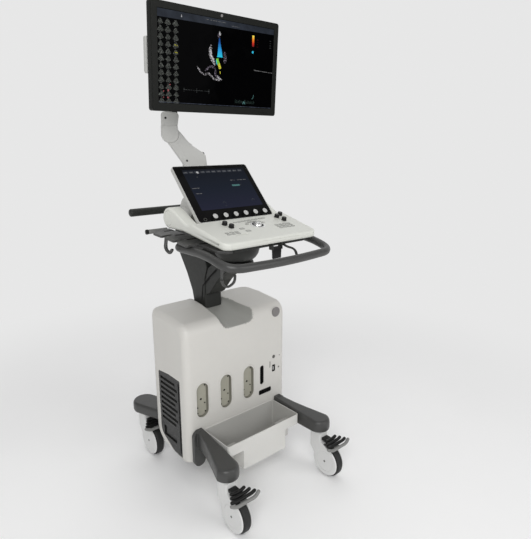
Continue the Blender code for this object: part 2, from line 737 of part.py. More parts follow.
def make_trackball():
    seat = deck_seat(*BALL)
    centre = seat @ Vector((0, 0, -0.005))
    ball = bmesh.new()
    bmesh.ops.create_uvsphere(ball, u_segments=16, v_segments=9, radius=BALL_R)
    ball.transform(Matrix.Translation(centre))
    piece("trackball", ball, "silver", centre, 60)
    cup = [
        (0.0200, -0.028),
        (0.0200, 0.0006),
        (BALL_R + 0.0006, 0.0016),
        (BALL_R + 0.0006, -0.0225),
        (0.004, -0.0225),
        (0.004, -0.028),
    ]
    piece("trackball_cup", turned(cup, seat, 20), "black_plastic", centre)


def make_knobs():
    for name, (x, y) in KNOBS.items():
        seat = deck_seat(x, y)
        knob = [(0.0095, 0.0008), (0.0095, 0.0100), (0.0080, 0.0125)]
        piece(name, stacked(knob, (0, 0), seat, 14), "black_plastic", seat.translation)


def make_release_lever():
    y, z = LEVER_HINGE
    at = frame((0, 0, 0), (0, 1, 0), (0, 0, 1))
    paddle = rounded(rectangle((y - 0.004, z - 0.037), (y + 0.004, z)), [0.003, 0.003, 0, 0], 2)
    lever = piece("release_lever", prism(paddle, -0.0012, 0.0332, at), "black_plastic", (0, y, z))
    join(lever, prism(circle((y, z), 0.0042, 16), -0.0015, 0.0335, at))
    cut(lever, prism(circle((y, z), 0.0029, 12), -0.01, 0.05, at))


def make_handle():
    half, arm_z, bar_z = 0.226, 0.913, 0.885
    left = [
        (-0.120, 0.055, 0.899),
        (-half, 0.055, arm_z - 0.002),
        (-half, -0.125, arm_z),
        (-half + 0.004, -0.243, bar_z),
    ]
    right = [(-x, y, z) for x, y, z in reversed(left)]
    bends = [0.045, 0.05, 0.055, 0.10, 0.055, 0.05, 0.045]
    path = bent(left + [(0, -0.262, bar_z - 0.002)] + right, bends, 3)
    handle = piece("front_handle", tube(path, 0.0125, 0.0135, 10, ends=0.0), "dark_grey", DECK_AXIS)
    loop = [(-0.222, -0.205, 0.886), (-0.224, -0.204, 0.834), (-0.200, -0.202, 0.820)]
    loop = bent(loop + [(-0.172, -0.200, 0.832), (-0.170, -0.200, 0.852)], [0.018, 0.014, 0.012], 3)
    join(handle, tube(loop, 0.0038, 0.0038, 7))


def make_tray():
    """The slotted tray on the left of the deck, parallel to X and rising slightly to the rear."""
    outer, inner, root, rise = -0.252, -0.168, -0.212, 0.06
    top = frame((0, -0.19, 0.9275), (1, 0, 0), (0, 1, rise))
    corners = [(inner, 0.375), (-0.215, 0.375), (outer, 0.340)]
    for v in (0.285, 0.208, 0.130):
        corners += [(outer, v), (root, v + 0.004), (root, v - 0.010), (outer + 0.004, v - 0.014)]
    corners = corners[:-1] + [(root, 0.025), (-0.186, 0.001), (inner, 0.001)]
    tray = piece("cable_tray", prism(corners, -0.008, 0.0, top), "dark_grey", DECK_AXIS)
    hook = [(-0.244, 0.075, 0.940), (-0.252, 0.070, 0.905), (-0.253, 0.040, 0.893)]
    hook = bent(hook + [(-0.253, 0.026, 0.908)], [0.014, 0.010], 2)
    join(tray, tube(hook, 0.0045, 0.0045, 6))

    rail = [Vector((-0.172, 0.195, 0.944)), Vector((-0.250, 0.195, 0.944))]
    piece("cable_rail", tube(rail, 0.006, 0.008, 12, ends=0.3), "arm_grey", DECK_AXIS)


# Touch panel
def make_touch_panel():
    pivot = (0, *BARREL)
    height = (TOUCH_HIGH - TOUCH_LOW).length
    outside = rounded(rectangle((-TOUCH_HALF_W, 0), (TOUCH_HALF_W, height)), 0.010, 4)
    housing = piece("touch_housing", prism(outside, -0.015, 0, TOUCH), "arm_grey", pivot)
    soften(housing, 0.0015, 1, 50)
    rim = 0.0022
    window = rectangle((-TOUCH_HALF_W + rim, rim), (TOUCH_HALF_W - rim, height - rim))
    cut(housing, prism(rounded(window, 0.008, 4), -0.0036, 0.01, TOUCH))
    neck = [(0.046, 1.024), (0.104, 1.086), (0.146, 1.012), (0.115, 0.990), (0.084, 0.988)]
    inner = TOUCH_HALF_W
    join(
        housing,
        prism(neck, -0.150, 0.150, SIDE),
        prism(circle(BARREL, BARREL_R, 24), -inner, inner, SIDE),
        prism(circle(BARREL, 0.0098, 16), -0.185, 0.185, SIDE),
    )

    edge = rim + GAP
    glass = rectangle((-TOUCH_HALF_W + edge, edge), (TOUCH_HALF_W - edge, height - edge))
    glass = prism(rounded(glass, 0.0076, 4), -0.0032, 0.0, TOUCH)
    piece("touch_glass", glass, "screen_glass", pivot)

    first, pitch = -0.097, 0.044
    for k in range(6):
        seat = TOUCH @ Matrix.Translation((first + k * pitch, 0.0145, 0.0))
        knob = stacked([(0.0090, 0.0006), (0.0085, 0.0120), (0.0070, 0.0135)], (0, 0), seat, 14)
        piece(f"encoder_{k + 1}", knob, "silver", seat.translation)


# Monitor arm and monitor
def make_arm():
    foot = cylinder((0, POST_Y), 0.040, 1.080, 1.096, PLAN, 24)
    swivel = piece("arm_swivel", foot, "arm_grey", (0, POST_Y, 1.08))
    u, z = ARM_HINGE
    tongue = [(u - 0.020, 1.093)] + arc(ARM_HINGE, 0.022, 180, 0, 10) + [(u + 0.022, 1.093)]
    join(swivel, prism(tongue, -0.0120, 0.0120, ARM), cylinder(ARM_HINGE, 0.006, -0.027, 0.027, ARM))
    cut(swivel, cylinder((0, POST_Y), 0.0125, 1.07, 1.0905, PLAN, 16))

    lower_end = arc(ARM_HINGE, 0.0455, 20, -185, 12)
    cover = [(-0.043, 1.199), (-0.027, 1.217), (-0.001, 1.233)]
    beam = [(0.019, 1.248), (0.056, 1.293), (0.107, 1.264)]
    pivot = ARM @ Vector((u, z, 0))
    link = piece("arm_link", prism(lower_end + cover + beam, -0.030, 0.030, ARM), "arm_grey", pivot)
    soften(link, 0.004, 2, 50)
    cut(
        link,
        cylinder(KNUCKLE_HINGE, 0.0345, -0.04, 0.04, ARM, 24),
        cylinder(ARM_HINGE, 0.0520, -0.0126, 0.0126, ARM, 24),
        cylinder(ARM_HINGE, 0.0066, -0.0275, 0.0275, ARM),
    )
    neck = capsule((0.050, 1.225), KNUCKLE_HINGE, 0.0210, 10)
    join(link, prism(neck, -0.0185, 0.0185, ARM))
    cut(link, cylinder(KNUCKLE_HINGE, 0.0056, -0.03, 0.03, ARM, 16))


def make_knuckle():
    u, z = KNUCKLE_HINGE
    outline = arc(KNUCKLE_HINGE, 0.031, 0, -180, 12)
    outline += [(u - 0.027, z + 0.013), (u - 0.014, KNUCKLE_TOP), (u + 0.031, KNUCKLE_TOP)]
    pivot = ARM @ Vector((u, z, 0))
    knuckle = piece("arm_knuckle", prism(outline, -0.030, 0.030, ARM), "arm_grey", pivot)
    slot = [
        (u - 0.06, z - 0.06),
        (u + 0.0225, z - 0.06),
        (u + 0.0225, z),
        (u, z + 0.0225),
        (u - 0.06, z + 0.0160),
    ]
    cut(knuckle, prism(slot, -0.0192, 0.0192, ARM), cylinder(KNUCKLE_HINGE, 0.0225, -0.0192, 0.0192, ARM))
    top = ARM @ Vector((u, 0, 0))
    join(knuckle, cylinder(KNUCKLE_HINGE, 0.005, -0.027, 0.027, ARM, 16))
    join(knuckle, cylinder(top.xy, 0.010, KNUCKLE_TOP - 0.004, KNUCKLE_TOP + 0.024, PLAN, 16))


def make_yoke():
    u, z = KNUCKLE_HINGE
    foot = KNUCKLE_TOP + GAP
    outline = [(u - 0.027, foot), (u + 0.030, foot), (u + 0.029, 1.356), (u - 0.036, 1.352)]
    base = ARM @ Vector((u, 0, 0))
    pivot = (base.x, base.y, foot)
    yoke = piece("monitor_yoke", prism(outline, -0.029, 0.029, ARM), "arm_grey", pivot)
    soften(yoke, 0.004, 2, 50)
    corners = [(base.x, base.y, 1.335), (base.x, base.y, 1.435), (0, 0.235, TILT_AXIS.z), TILT_AXIS]
    path = bent(corners, [0.045, 0.04], 3)
    at_axis = frame((0, 0, 0), (0, 1, 0), (0, 0, 1))
    hub = (TILT_AXIS.y, TILT_AXIS.z)
    join(
        yoke,
        tube(path, 0.018, 0.012, 10, up=(0.6, 0.3, 1), ends=0.0),
        prism(circle(hub, 0.0145, 20), -0.026, 0.026, at_axis),
    )
    cut(
        yoke,
        prism(circle(hub, 0.0056, 16), -0.04, 0.04, at_axis),
        cylinder(base.xy, 0.0106, 1.30, KNUCKLE_TOP + 0.0255, PLAN, 16),
    )


def monitor_ring(half_w, low, high, radius, w):
    outline = rounded(rectangle((-half_w, low), (half_w, high)), radius, 3)
    return [MONITOR @ Vector((u, v, w)) for u, v in outline]


def make_monitor():
    w, h = MONITOR_HALF_W, MONITOR_HALF_H
    rings = [
        monitor_ring(w - 0.003, -h + 0.003, h - 0.003, 0.006, -0.030),
        monitor_ring(w, -h, h, 0.008, -0.026),
        monitor_ring(w, -h, h, 0.008, -0.003),
        monitor_ring(w - 0.0025, -h + 0.0025, h - 0.0025, 0.006, 0.0),
    ]
    bezel = piece("monitor_bezel", loft(rings), "black_plastic", TILT_AXIS)
    side, top, bottom = 0.021, 0.021, 0.025
    window = rectangle((-w + side, -h + bottom), (w - side, h - top))
    cut(bezel, prism(window, -0.006, 0.01, MONITOR))
    low = (-w + side + GAP, -h + bottom + GAP)
    glass = rectangle(low, (w - side - GAP, h - top - GAP))
    piece("monitor_screen", prism(glass, -0.0055, -0.0015, MONITOR), "screen_glass", TILT_AXIS)

    rings = [
        monitor_ring(0.248, -0.125, 0.135, 0.012, -0.030 - GAP),
        monitor_ring(0.248, -0.125, 0.135, 0.012, -0.040),
        monitor_ring(0.232, -0.109, 0.119, 0.012, -0.056),
        monitor_ring(0.090, -0.070, 0.060, 0.012, -0.064),
    ]
    back = piece("monitor_back", loft(rings), "arm_grey", TILT_AXIS)
    v = -0.012
    ear = rounded(
        rectangle((v - 0.012, -TILT_AXIS_DEPTH - 0.011), (v + 0.012, -0.058)), [0.01, 0, 0, 0.01], 4
    )
    along = frame(MONITOR.translation, MONITOR.col[1].xyz, MONITOR.col[2].xyz)
    for low, high in ((-0.036, -0.0268), (0.0268, 0.036)):
        join(back, prism(ear, low, high, along))
    join(back, prism(circle((v, -TILT_AXIS_DEPTH), 0.005, 16), -0.030, 0.030, along))


def build():
    clear_scene()
    make_base()
    make_front_legs()
    make_casters()
    make_body()
    make_side_vents()
    make_front_ports()
    make_bin()
    make_inside()
    make_column()
    make_arm_post()
    make_deck_shell()
    make_deck_base()
    make_trackball()
    make_knobs()
    make_release_lever()
    make_handle()
    make_tray()
    make_touch_panel()
    make_arm()
    make_knuckle()
    make_yoke()
    make_monitor()


build()
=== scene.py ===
"""Ultrasound machine: fine shapes, materials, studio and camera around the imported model.

Metres, +Z up, the machine's front faces -Y. Shapes are drawn from a datum just in front of the
body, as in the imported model, and piece() moves them into the frame.
"""

import json
from math import atan2, cos, pi, radians, sin, sqrt, tan

import bmesh
import bpy
from mathutils import Matrix, Vector
from mathutils.noise import noise

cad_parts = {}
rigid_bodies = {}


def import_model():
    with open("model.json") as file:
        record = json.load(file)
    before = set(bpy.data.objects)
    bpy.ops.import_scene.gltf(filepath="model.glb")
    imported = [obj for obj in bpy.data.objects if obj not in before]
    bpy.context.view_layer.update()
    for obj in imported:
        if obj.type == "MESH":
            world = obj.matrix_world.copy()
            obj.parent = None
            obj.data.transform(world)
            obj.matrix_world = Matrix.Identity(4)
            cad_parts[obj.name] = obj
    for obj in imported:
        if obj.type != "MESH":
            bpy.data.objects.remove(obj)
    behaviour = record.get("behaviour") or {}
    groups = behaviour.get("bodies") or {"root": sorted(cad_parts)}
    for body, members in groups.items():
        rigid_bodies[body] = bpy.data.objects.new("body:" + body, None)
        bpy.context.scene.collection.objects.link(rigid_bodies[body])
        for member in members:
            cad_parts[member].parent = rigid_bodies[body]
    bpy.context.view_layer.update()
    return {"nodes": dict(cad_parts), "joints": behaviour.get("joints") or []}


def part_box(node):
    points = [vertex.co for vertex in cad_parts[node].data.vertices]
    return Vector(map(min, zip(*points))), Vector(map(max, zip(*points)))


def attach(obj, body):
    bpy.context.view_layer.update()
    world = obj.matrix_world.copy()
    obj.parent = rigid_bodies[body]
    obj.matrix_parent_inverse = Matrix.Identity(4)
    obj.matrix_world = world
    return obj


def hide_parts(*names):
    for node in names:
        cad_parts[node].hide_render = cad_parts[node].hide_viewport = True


for obj in list(bpy.data.objects):
    bpy.data.objects.remove(obj, do_unlink=True)

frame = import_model()
JOINTS = {joint["name"]: joint for joint in frame["joints"]}

BODY_FRONT = 0.005  # the body's front face, from the datum
DATUM = Vector((0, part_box("body_shell")[0][1] - BODY_FRONT, 0))


def joint_place(name):
    """A joint's position, measured from the datum."""
    return Vector(JOINTS[name]["pos_m"]) - DATUM


def node_box(name):
    """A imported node's lowest and highest corners, measured from the datum."""
    low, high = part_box(name)
    return Vector(low) - DATUM, Vector(high) - DATUM


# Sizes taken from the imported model
SIDES = ("left", "right")
CASTER_NAMES = ("front_left", "front_right", "rear_left", "rear_right")
CASTERS = {name: joint_place(f"caster_{name}_swivel") for name in CASTER_NAMES}
AXLE_Z = joint_place("wheel_front_left_spin").z
TRAIL = CASTERS["front_left"].y - joint_place("wheel_front_left_spin").y
WHEEL_R = AXLE_Z * 1.0085
BODY_LOW, BODY_HIGH = node_box("body_shell")
BODY_HALF_W = BODY_HIGH.x
BODY_BACK = BODY_HIGH.y
DECK_Z = joint_place("deck_swivel").z
BARREL = joint_place("touch_panel_tilt")
TOUCH_SIZE = (0.163, 0.242)
ARM_HINGE = joint_place("arm_lower")
KNUCKLE_HINGE = joint_place("arm_level")
POST = joint_place("arm_swing")
YOKE = joint_place("monitor_swivel")
TILT = joint_place("monitor_tilt")


# Frames: each maps an outline's (u, v) and its depth w to the drawing's axes
def axes_at(origin=(0, 0, 0), u=(1, 0, 0), v=(0, 1, 0)):
    u, v = Vector(u).normalized(), Vector(v).normalized()
    turn = Matrix((u, v, u.cross(v))).transposed().to_4x4()
    return Matrix.Translation(origin) @ turn


PLAN = axes_at()
SIDE = axes_at(u=(0, 1, 0), v=(0, 0, 1))  # u = y, v = z, w = x
FRONT = axes_at(u=(1, 0, 0), v=(0, 0, 1))  # u = x, v = z, w = -y
ACROSS = (ARM_HINGE - KNUCKLE_HINGE) * Vector((1, 1, 0))
HEADING = -ACROSS.normalized()
ARM = axes_at((POST.x, POST.y, 0), HEADING, (0, 0, 1))  # u = along the arm's lean, v = z
TOUCH_LOW = Vector((0, -0.004, 0.989))
TOUCH_UP = Vector((0, 0.164, 0.178)).normalized()
TOUCH = axes_at(TOUCH_LOW, (1, 0, 0), TOUCH_UP)  # w = out of the glass
MONITOR_TILT = radians(3.6)
MONITOR_UP = Vector((0, -sin(MONITOR_TILT), cos(MONITOR_TILT)))
MONITOR_OUT = Vector((1, 0, 0)).cross(MONITOR_UP)
MONITOR = axes_at(TILT + MONITOR_UP * 0.012 + MONITOR_OUT * 0.082, (1, 0, 0), MONITOR_UP)
DECK_SLOPE = 0.24


def deck_top(y):
    return 0.9525 + DECK_SLOPE * (y + 0.185)


def beside(side, near, far):
    """The low and high ends of a span that lies near to far on one side of the middle."""
    return sorted((side * near, side * far))


def deck_seat(x, y):
    """A frame on the deck's sloping top, with w out of the surface."""
    return axes_at((x, y, deck_top(y)), (1, 0, 0), (0, 1, DECK_SLOPE))


# Outlines
def arc(centre, radius, start, end, steps):
    angles = [radians(start + (end - start) * i / steps) for i in range(steps + 1)]
    return [(centre[0] + radius * cos(a), centre[1] + radius * sin(a)) for a in angles]


def circle(centre, radius, sides=40):
    return arc(centre, radius, 180 / sides, 360 + 180 / sides, sides)[:-1]


def rectangle(low, high):
    return [(low[0], low[1]), (high[0], low[1]), (high[0], high[1]), (low[0], high[1])]


def rounded(corners, radii, steps=8):
    """A closed outline whose corners are replaced by tangent arcs."""
    if not isinstance(radii, (list, tuple)):
        radii = [radii] * len(corners)
    points = []
    for i, corner in enumerate(corners):
        here = Vector(corner)
        back = (Vector(corners[i - 1]) - here).normalized()
        ahead = (Vector(corners[(i + 1) % len(corners)]) - here).normalized()
        if radii[i] <= 0:
            points.append(tuple(here))
            continue
        half = back.angle(ahead) / 2
        centre = here + (back + ahead).normalized() * (radii[i] / sin(half))
        start = here + back * (radii[i] / tan(half)) - centre
        end = here + ahead * (radii[i] / tan(half)) - centre
        first = atan2(start.y, start.x)
        turn = (atan2(end.y, end.x) - first + pi) % (2 * pi) - pi
        for k in range(steps + 1):
            angle = first + turn * k / steps
            points.append((centre.x + radii[i] * cos(angle), centre.y + radii[i] * sin(angle)))
    return points


def capsule(start, end, radius, steps=14):
    heading = atan2(end[1] - start[1], end[0] - start[0]) * 180 / pi
    return arc(end, radius, heading - 90, heading + 90, steps) + arc(
        start, radius, heading + 90, heading + 270, steps
    )


def upright_slot(x, low, high, half_w, steps=12):
    return capsule((x, low + half_w), (x, high - half_w), half_w, steps)


# Solids
def loft(rings, caps=True):
    builder = bmesh.new()
    rows = [[builder.verts.new(point) for point in ring] for ring in rings]
    count = len(rows[0])
    for row, other in zip(rows, rows[1:]):
        for i in range(count):
            builder.faces.new((row[i], row[(i + 1) % count], other[(i + 1) % count], other[i]))
    if caps:
        builder.faces.new(reversed(rows[0]))
        builder.faces.new(rows[-1])
    return builder


def prism(outline, low, high, axes=PLAN):
    return loft([[axes @ Vector((u, v, w)) for u, v in outline] for w in (low, high)])


def box(low, high):
    return prism(rectangle(low[:2], high[:2]), low[2], high[2])


def cylinder(centre, radius, low, high, axes=PLAN, sides=40):
    return prism(circle(centre, radius, sides), low, high, axes)


def turned(profile, axes, sides=48):
    """A closed (radius, depth) profile turned about the frame's w axis. No radius may be zero."""
    builder = bmesh.new()
    rows = []
    for k in range(sides):
        a = 2 * pi * (k + 0.5) / sides
        row = [axes @ Vector((r * cos(a), r * sin(a), w)) for r, w in profile]
        rows.append([builder.verts.new(point) for point in row])
    count = len(profile)
    for k in range(sides):
        row, other = rows[k], rows[(k + 1) % sides]
        for i in range(count):
            builder.faces.new((row[i], row[(i + 1) % count], other[(i + 1) % count], other[i]))
    return builder


def stacked(sections, axes, sides=40, centre=(0, 0)):
    """A solid of round sections, given as (radius, depth), closed by flat ends."""
    return loft(
        [[axes @ Vector((u, v, w)) for u, v in circle(centre, r, sides)] for r, w in sections]
    )


def bent(corners, radii, steps=8):
    """A path through 3-D corners, each rounded by a smooth bend."""
    path = [Vector(corners[0])]
    for i in range(1, len(corners) - 1):
        here = Vector(corners[i])
        start = here + (Vector(corners[i - 1]) - here).normalized() * radii[i - 1]
        end = here + (Vector(corners[i + 1]) - here).normalized() * radii[i - 1]
        for k in range(steps + 1):
            t = k / steps
            path.append(start * (1 - t) ** 2 + here * 2 * t * (1 - t) + end * t**2)
    path.append(Vector(corners[-1]))
    return path


def tube(path, half_w, half_h, sides=24, up=(0, 0, 1), dome=1.0):
    """Sweeps an oval along a path. Each end is a dome of the given length, or flat."""
    rings = []
    last = len(path) - 1
    for i, point in enumerate(path):
        before, after = max(i - 1, 0), min(i + 1, last)
        along = (path[after] - path[before]).normalized()
        across = along.cross(Vector(up)).normalized()
        over = across.cross(along)
        ring = [across * half_w * u + over * half_h * v for u, v in circle((0, 0), 1, sides)]
        caps = []
        if i in (0, last):
            sign = -1 if i == 0 else 1
            for angle in (25, 50, 72):
                shift = along * sign * half_h * dome * sin(radians(angle))
                caps.append([point + shift + offset * cos(radians(angle)) for offset in ring])
        body = [[point + offset for offset in ring]]
        rings += list(reversed(caps)) + body if i == 0 else body + caps
    return loft(rings)


def merged(*builders):
    """Several closed shapes in one mesh. They may touch, as raised marks and keys do."""
    whole = bmesh.new()
    for builder in builders:
        part = bpy.data.meshes.new("part")
        builder.to_mesh(part)
        builder.free()
        whole.from_mesh(part)
        bpy.data.meshes.remove(part)
    return whole


# Materials
def add(tree, kind, settings=None, **inputs):
    """A shader node with its settings and inputs; an input may be another node's socket."""
    made = tree.nodes.new(kind)
    for key, value in (settings or {}).items():
        setattr(made, key, value)
    for key, value in inputs.items():
        socket = made.inputs[int(key[1:])] if key[0] == "i" and key[1:].isdigit() else made.inputs[
            key.replace("_", " ")
        ]
        if isinstance(value, bpy.types.NodeSocket):
            tree.links.new(value, socket)
        else:
            socket.default_value = value
    return made


def new_look(name):
    made = bpy.data.materials.new(name)
    made.use_nodes = True
    return made, made.node_tree, made.node_tree.nodes["Principled BSDF"]


def spread(tree, value, low, high, first=0.3, last=0.7):
    """Maps a noise value onto a range."""
    limits = {"From_Min": first, "From_Max": last, "To_Min": low, "To_Max": high}
    return add(tree, "ShaderNodeMapRange", Value=value, **limits).outputs["Result"]


def surface(name, colour, rough, metal=0.0, grain=0.0, size=1100.0, mottle=0.03, wear_and_edge_sheen=0.0, shine=0.5):
    """Moulded or painted surface: fine grain, uneven gloss, faint colour change, and edges lightened both as
    wear and as a painted highlight.
    """
    made, tree, shader = new_look(name)
    place = add(tree, "ShaderNodeTexCoord").outputs["Object"]
    broad = add(tree, "ShaderNodeTexNoise", Vector=place, Scale=7.0, Detail=5.0).outputs["Fac"]
    fine = add(tree, "ShaderNodeTexNoise", Vector=place, Scale=60.0, Detail=6.0).outputs["Fac"]
    tone = spread(tree, broad, 1 - mottle, 1 + mottle)
    speck = spread(tree, fine, 1 - mottle * 0.5, 1 + mottle * 0.5)
    both = add(tree, "ShaderNodeMath", {"operation": "MULTIPLY"}, i0=tone, i1=speck).outputs[0]
    shade = add(tree, "ShaderNodeVectorMath", {"operation": "SCALE"}, i0=colour, Scale=both)
    tint = shade.outputs[0]
    # edges are lightened: partly wear, partly a painted highlight along them
    if wear_and_edge_sheen:
        edge = add(tree, "ShaderNodeBevel", {"samples": 4}, Radius=0.0016).outputs[0]
        flat = add(tree, "ShaderNodeNewGeometry").outputs["Normal"]
        match = add(tree, "ShaderNodeVectorMath", {"operation": "DOT_PRODUCT"}, i0=edge, i1=flat)
        wear_and_sheen_mask = spread(tree, match.outputs["Value"], wear_and_edge_sheen, 0.0, 0.86, 0.995)
        wear_and_sheen_mask = add(tree, "ShaderNodeMath", {"operation": "MULTIPLY"}, i0=wear_and_sheen_mask, i1=fine).outputs[0]
        lit = [min(1.0, c * 1.6 + 0.05) for c in colour]
        mix = add(tree, "ShaderNodeMix", {"data_type": "RGBA"}, Factor=wear_and_sheen_mask)
        tree.links.new(tint, mix.inputs[6])
        mix.inputs[7].default_value = (*lit, 1)
        tint = mix.outputs[2]
    tree.links.new(tint, shader.inputs["Base Color"])
    gloss = spread(tree, fine, rough - 0.05, rough + 0.07)
    tree.links.new(gloss, shader.inputs["Roughness"])
    shader.inputs["Metallic"].default_value = metal
    shader.inputs["Specular IOR Level"].default_value = shine
    pores = add(tree, "ShaderNodeTexNoise", Vector=place, Scale=size, Detail=3.0).outputs["Fac"]
    waves = add(tree, "ShaderNodeMath", {"operation": "MULTIPLY_ADD"}, i0=fine, i1=0.35, i2=pores)
    bump = add(
        tree, "ShaderNodeBump", Strength=max(grain, 0.02), Distance=0.0004, Height=waves.outputs[0]
    )
    tree.links.new(bump.outputs[0], shader.inputs["Normal"])
    return made


def ground_line(name, colour, rough):
    """Turned metal: fine rings around the piece, seen as an uneven highlight."""
    made, tree, shader = new_look(name)
    place = add(tree, "ShaderNodeTexCoord").outputs["Object"]
    stretch = add(tree, "ShaderNodeMapping", Vector=place, Scale=(900.0, 900.0, 60.0)).outputs[0]
    lines = add(tree, "ShaderNodeTexNoise", Vector=stretch, Scale=1.0, Detail=4.0).outputs["Fac"]
    shader.inputs["Base Color"].default_value = (*colour, 1)
    shader.inputs["Metallic"].default_value = 0.9
    tree.links.new(spread(tree, lines, rough - 0.08, rough + 0.12), shader.inputs["Roughness"])
    bump = add(tree, "ShaderNodeBump", Strength=0.08, Distance=0.0003, Height=lines).outputs[0]
    tree.links.new(bump, shader.inputs["Normal"])
    return made


def display_glass(name, colour, rough, shine):
    """Dark cover glass with a faint film of fingerprints."""
    made, tree, shader = new_look(name)
    place = add(tree, "ShaderNodeTexCoord").outputs["Object"]
    film = add(tree, "ShaderNodeTexNoise", Vector=place, Scale=16.0, Detail=8.0, Distortion=1.2)
    smear = spread(tree, film.outputs["Fac"], rough - 0.03, rough + 0.16, 0.45, 0.75)
    tree.links.new(smear, shader.inputs["Roughness"])
    tone = spread(tree, film.outputs["Fac"], 0.85, 1.15)
    shade = add(tree, "ShaderNodeVectorMath", {"operation": "SCALE"}, i0=colour, Scale=tone)
    tree.links.new(shade.outputs[0], shader.inputs["Base Color"])
    shader.inputs["Specular IOR Level"].default_value = shine
    return made


def lit_mark(name, colour, strength=1.0, size=260.0, cut=0.35, soft=0.25, clear=True):
    """Part of a lit picture: its light breaks up into small specks, and is clear between them."""
    made, tree, shader = new_look(name)
    place = add(tree, "ShaderNodeTexCoord").outputs["Object"]
    specks = add(tree, "ShaderNodeTexNoise", Vector=place, Scale=size, Detail=5.0).outputs["Fac"]
    share = spread(tree, specks, 0.0, 1.0, cut, cut + soft)
    shader.inputs["Base Color"].default_value = (0.004, 0.004, 0.005, 1)
    shader.inputs["Roughness"].default_value = 0.2
    shader.inputs["Specular IOR Level"].default_value = 0.03
    shade = add(tree, "ShaderNodeVectorMath", {"operation": "SCALE"}, i0=colour, Scale=share)
    tree.links.new(shade.outputs[0], shader.inputs["Emission Color"])
    shader.inputs["Emission Strength"].default_value = strength
    if clear:
        tree.links.new(spread(tree, share, 0.0, 1.0, 0.0, 0.6), shader.inputs["Alpha"])
    return made


def blended_mark(name, stops, axes, low, high, strength=1.0):
    """A lit strip whose colour runs through stops from v = low to v = high of a frame."""
    made, tree, shader = new_look(name)
    place = add(tree, "ShaderNodeTexCoord").outputs["Object"]
    up = axes.col[1].xyz
    along = add(tree, "ShaderNodeVectorMath", {"operation": "DOT_PRODUCT"}, i0=place, i1=up)
    base = (axes.translation + DATUM).dot(up)
    share = spread(tree, along.outputs["Value"], 0.0, 1.0, base + low, base + high)
    ramp = add(tree, "ShaderNodeValToRGB", Fac=share)
    points = ramp.color_ramp.elements
    while len(points) < len(stops):
        points.new(0.5)
    for point, (where, colour) in zip(points, stops):
        point.position = where
        point.color = (*colour, 1)
    shader.inputs["Base Color"].default_value = (0.004, 0.004, 0.005, 1)
    shader.inputs["Specular IOR Level"].default_value = 0.03
    tree.links.new(ramp.outputs[0], shader.inputs["Emission Color"])
    shader.inputs["Emission Strength"].default_value = strength
    return made


def srgb(red, green, blue):
    """Linear colour from the usual 0-255 values."""
    linear = []
    for value in (red, green, blue):
        c = value / 255
        linear.append(c / 12.92 if c <= 0.04045 else ((c + 0.055) / 1.055) ** 2.4)
    return linear


def make_looks():
    plastic = {"grain": 0.1, "mottle": 0.015}
    # dark paint gets lighter edges, as wear and as a painted highlight
    dark = {"grain": 0.22, "size": 1500.0, "mottle": 0.07, "wear_and_edge_sheen": 0.5}
    warm = srgb(206, 204, 199)
    return {
        "body_grey": surface("body_grey_moulded", warm, 0.42, **plastic),
        # painted shade: the trough in front of the column gets a darker grey than the rest of the body
        "scoop_grey": surface("scoop_grey_painted_shade", srgb(160, 160, 155), 0.5, **plastic),
        "bin_grey": surface("bin_grey_moulded", srgb(212, 211, 207), 0.48, **plastic),
        # painted shade: the bin's inner faces get a darker grey than its outside
        "bin_inside": surface("bin_inside_painted_shade", srgb(176, 175, 171), 0.52, **plastic),
        "deck_white": surface("deck_white_moulded", srgb(217, 218, 211), 0.36, **plastic),
        "arm_grey": surface("arm_grey_paint", srgb(184, 184, 181), 0.38, **plastic),
        "caster_grey": surface("caster_grey_moulded", srgb(217, 217, 216), 0.4, **plastic),
        "dark_grey": surface("dark_grey_paint", srgb(62, 62, 61), 0.36, **dark),
        "column_grey": surface("column_dark_paint", srgb(44, 45, 43), 0.42, shine=0.3, **dark),
        "vent_grey": surface("vent_black_moulded", srgb(27, 27, 26), 0.3, shine=0.35, **dark),
        "black_plastic": surface("black_moulded", srgb(20, 20, 20), 0.38, grain=0.2, mottle=0.08, shine=0.3),
        "rail_grey": surface("rail_grey_paint", srgb(120, 120, 118), 0.4, **plastic),
        "lever_grey": surface("lever_grey_moulded", srgb(128, 128, 126), 0.4, grain=0.15),
        "tyre": surface("tyre_rubber", srgb(31, 31, 31), 0.62, grain=0.35, size=700.0, mottle=0.12),
        "port_beige": surface("port_beige_moulded", srgb(158, 156, 143), 0.5, grain=0.2, mottle=0.05),
        # painted shade: the walls inside the probe ports are darker than their plates
        "port_wall_shade": surface("port_wall_painted_shade", srgb(128, 126, 116), 0.5, grain=0.2, mottle=0.05),
        "bezel_black": surface(
            "bezel_black_moulded", srgb(25, 26, 24), 0.34, grain=0.12, mottle=0.05, shine=0.1,
        ),
        "recess_black": surface("recess_black", srgb(9, 9, 9), 0.6, grain=0.1, shine=0.15),
        "key_grey": surface("key_grey_moulded", srgb(176, 177, 172), 0.42, **plastic),
        # used for print and also as the painted shade in the gaps round the deck keys
        "print_and_gap_shade_grey": surface("print_and_gap_shade_grey", srgb(92, 92, 88), 0.5, grain=0.05),
        "medallion": surface("medallion_satin", srgb(128, 125, 124), 0.36, metal=0.3, grain=0.1),
        "silver": ground_line("satin_silver", (0.83, 0.83, 0.82), 0.24),
        "cap_silver": ground_line("cap_silver", (0.9, 0.9, 0.89), 0.42),
        "steel": ground_line("plain_steel", (0.47, 0.48, 0.49), 0.38),
        "circuit_box": surface("sheet_box", srgb(150, 152, 154), 0.4, metal=0.8, grain=0.1),
        "screen_glass": display_glass("display_glass", (0.0006, 0.0006, 0.0008), 0.09, 0.012),
        "touch_glass": display_glass("touch_cover_glass", (0.006, 0.006, 0.0062), 0.1, 0.08),
    }


LOOKS = make_looks()


# Pieces
def bake(obj):
    """Replaces an object's mesh by its evaluated one, so that nothing else is needed for it."""
    graph = bpy.context.evaluated_depsgraph_get()
    mesh = bpy.data.meshes.new_from_object(obj.evaluated_get(graph))
    obj.modifiers.clear()
    obj.data = mesh


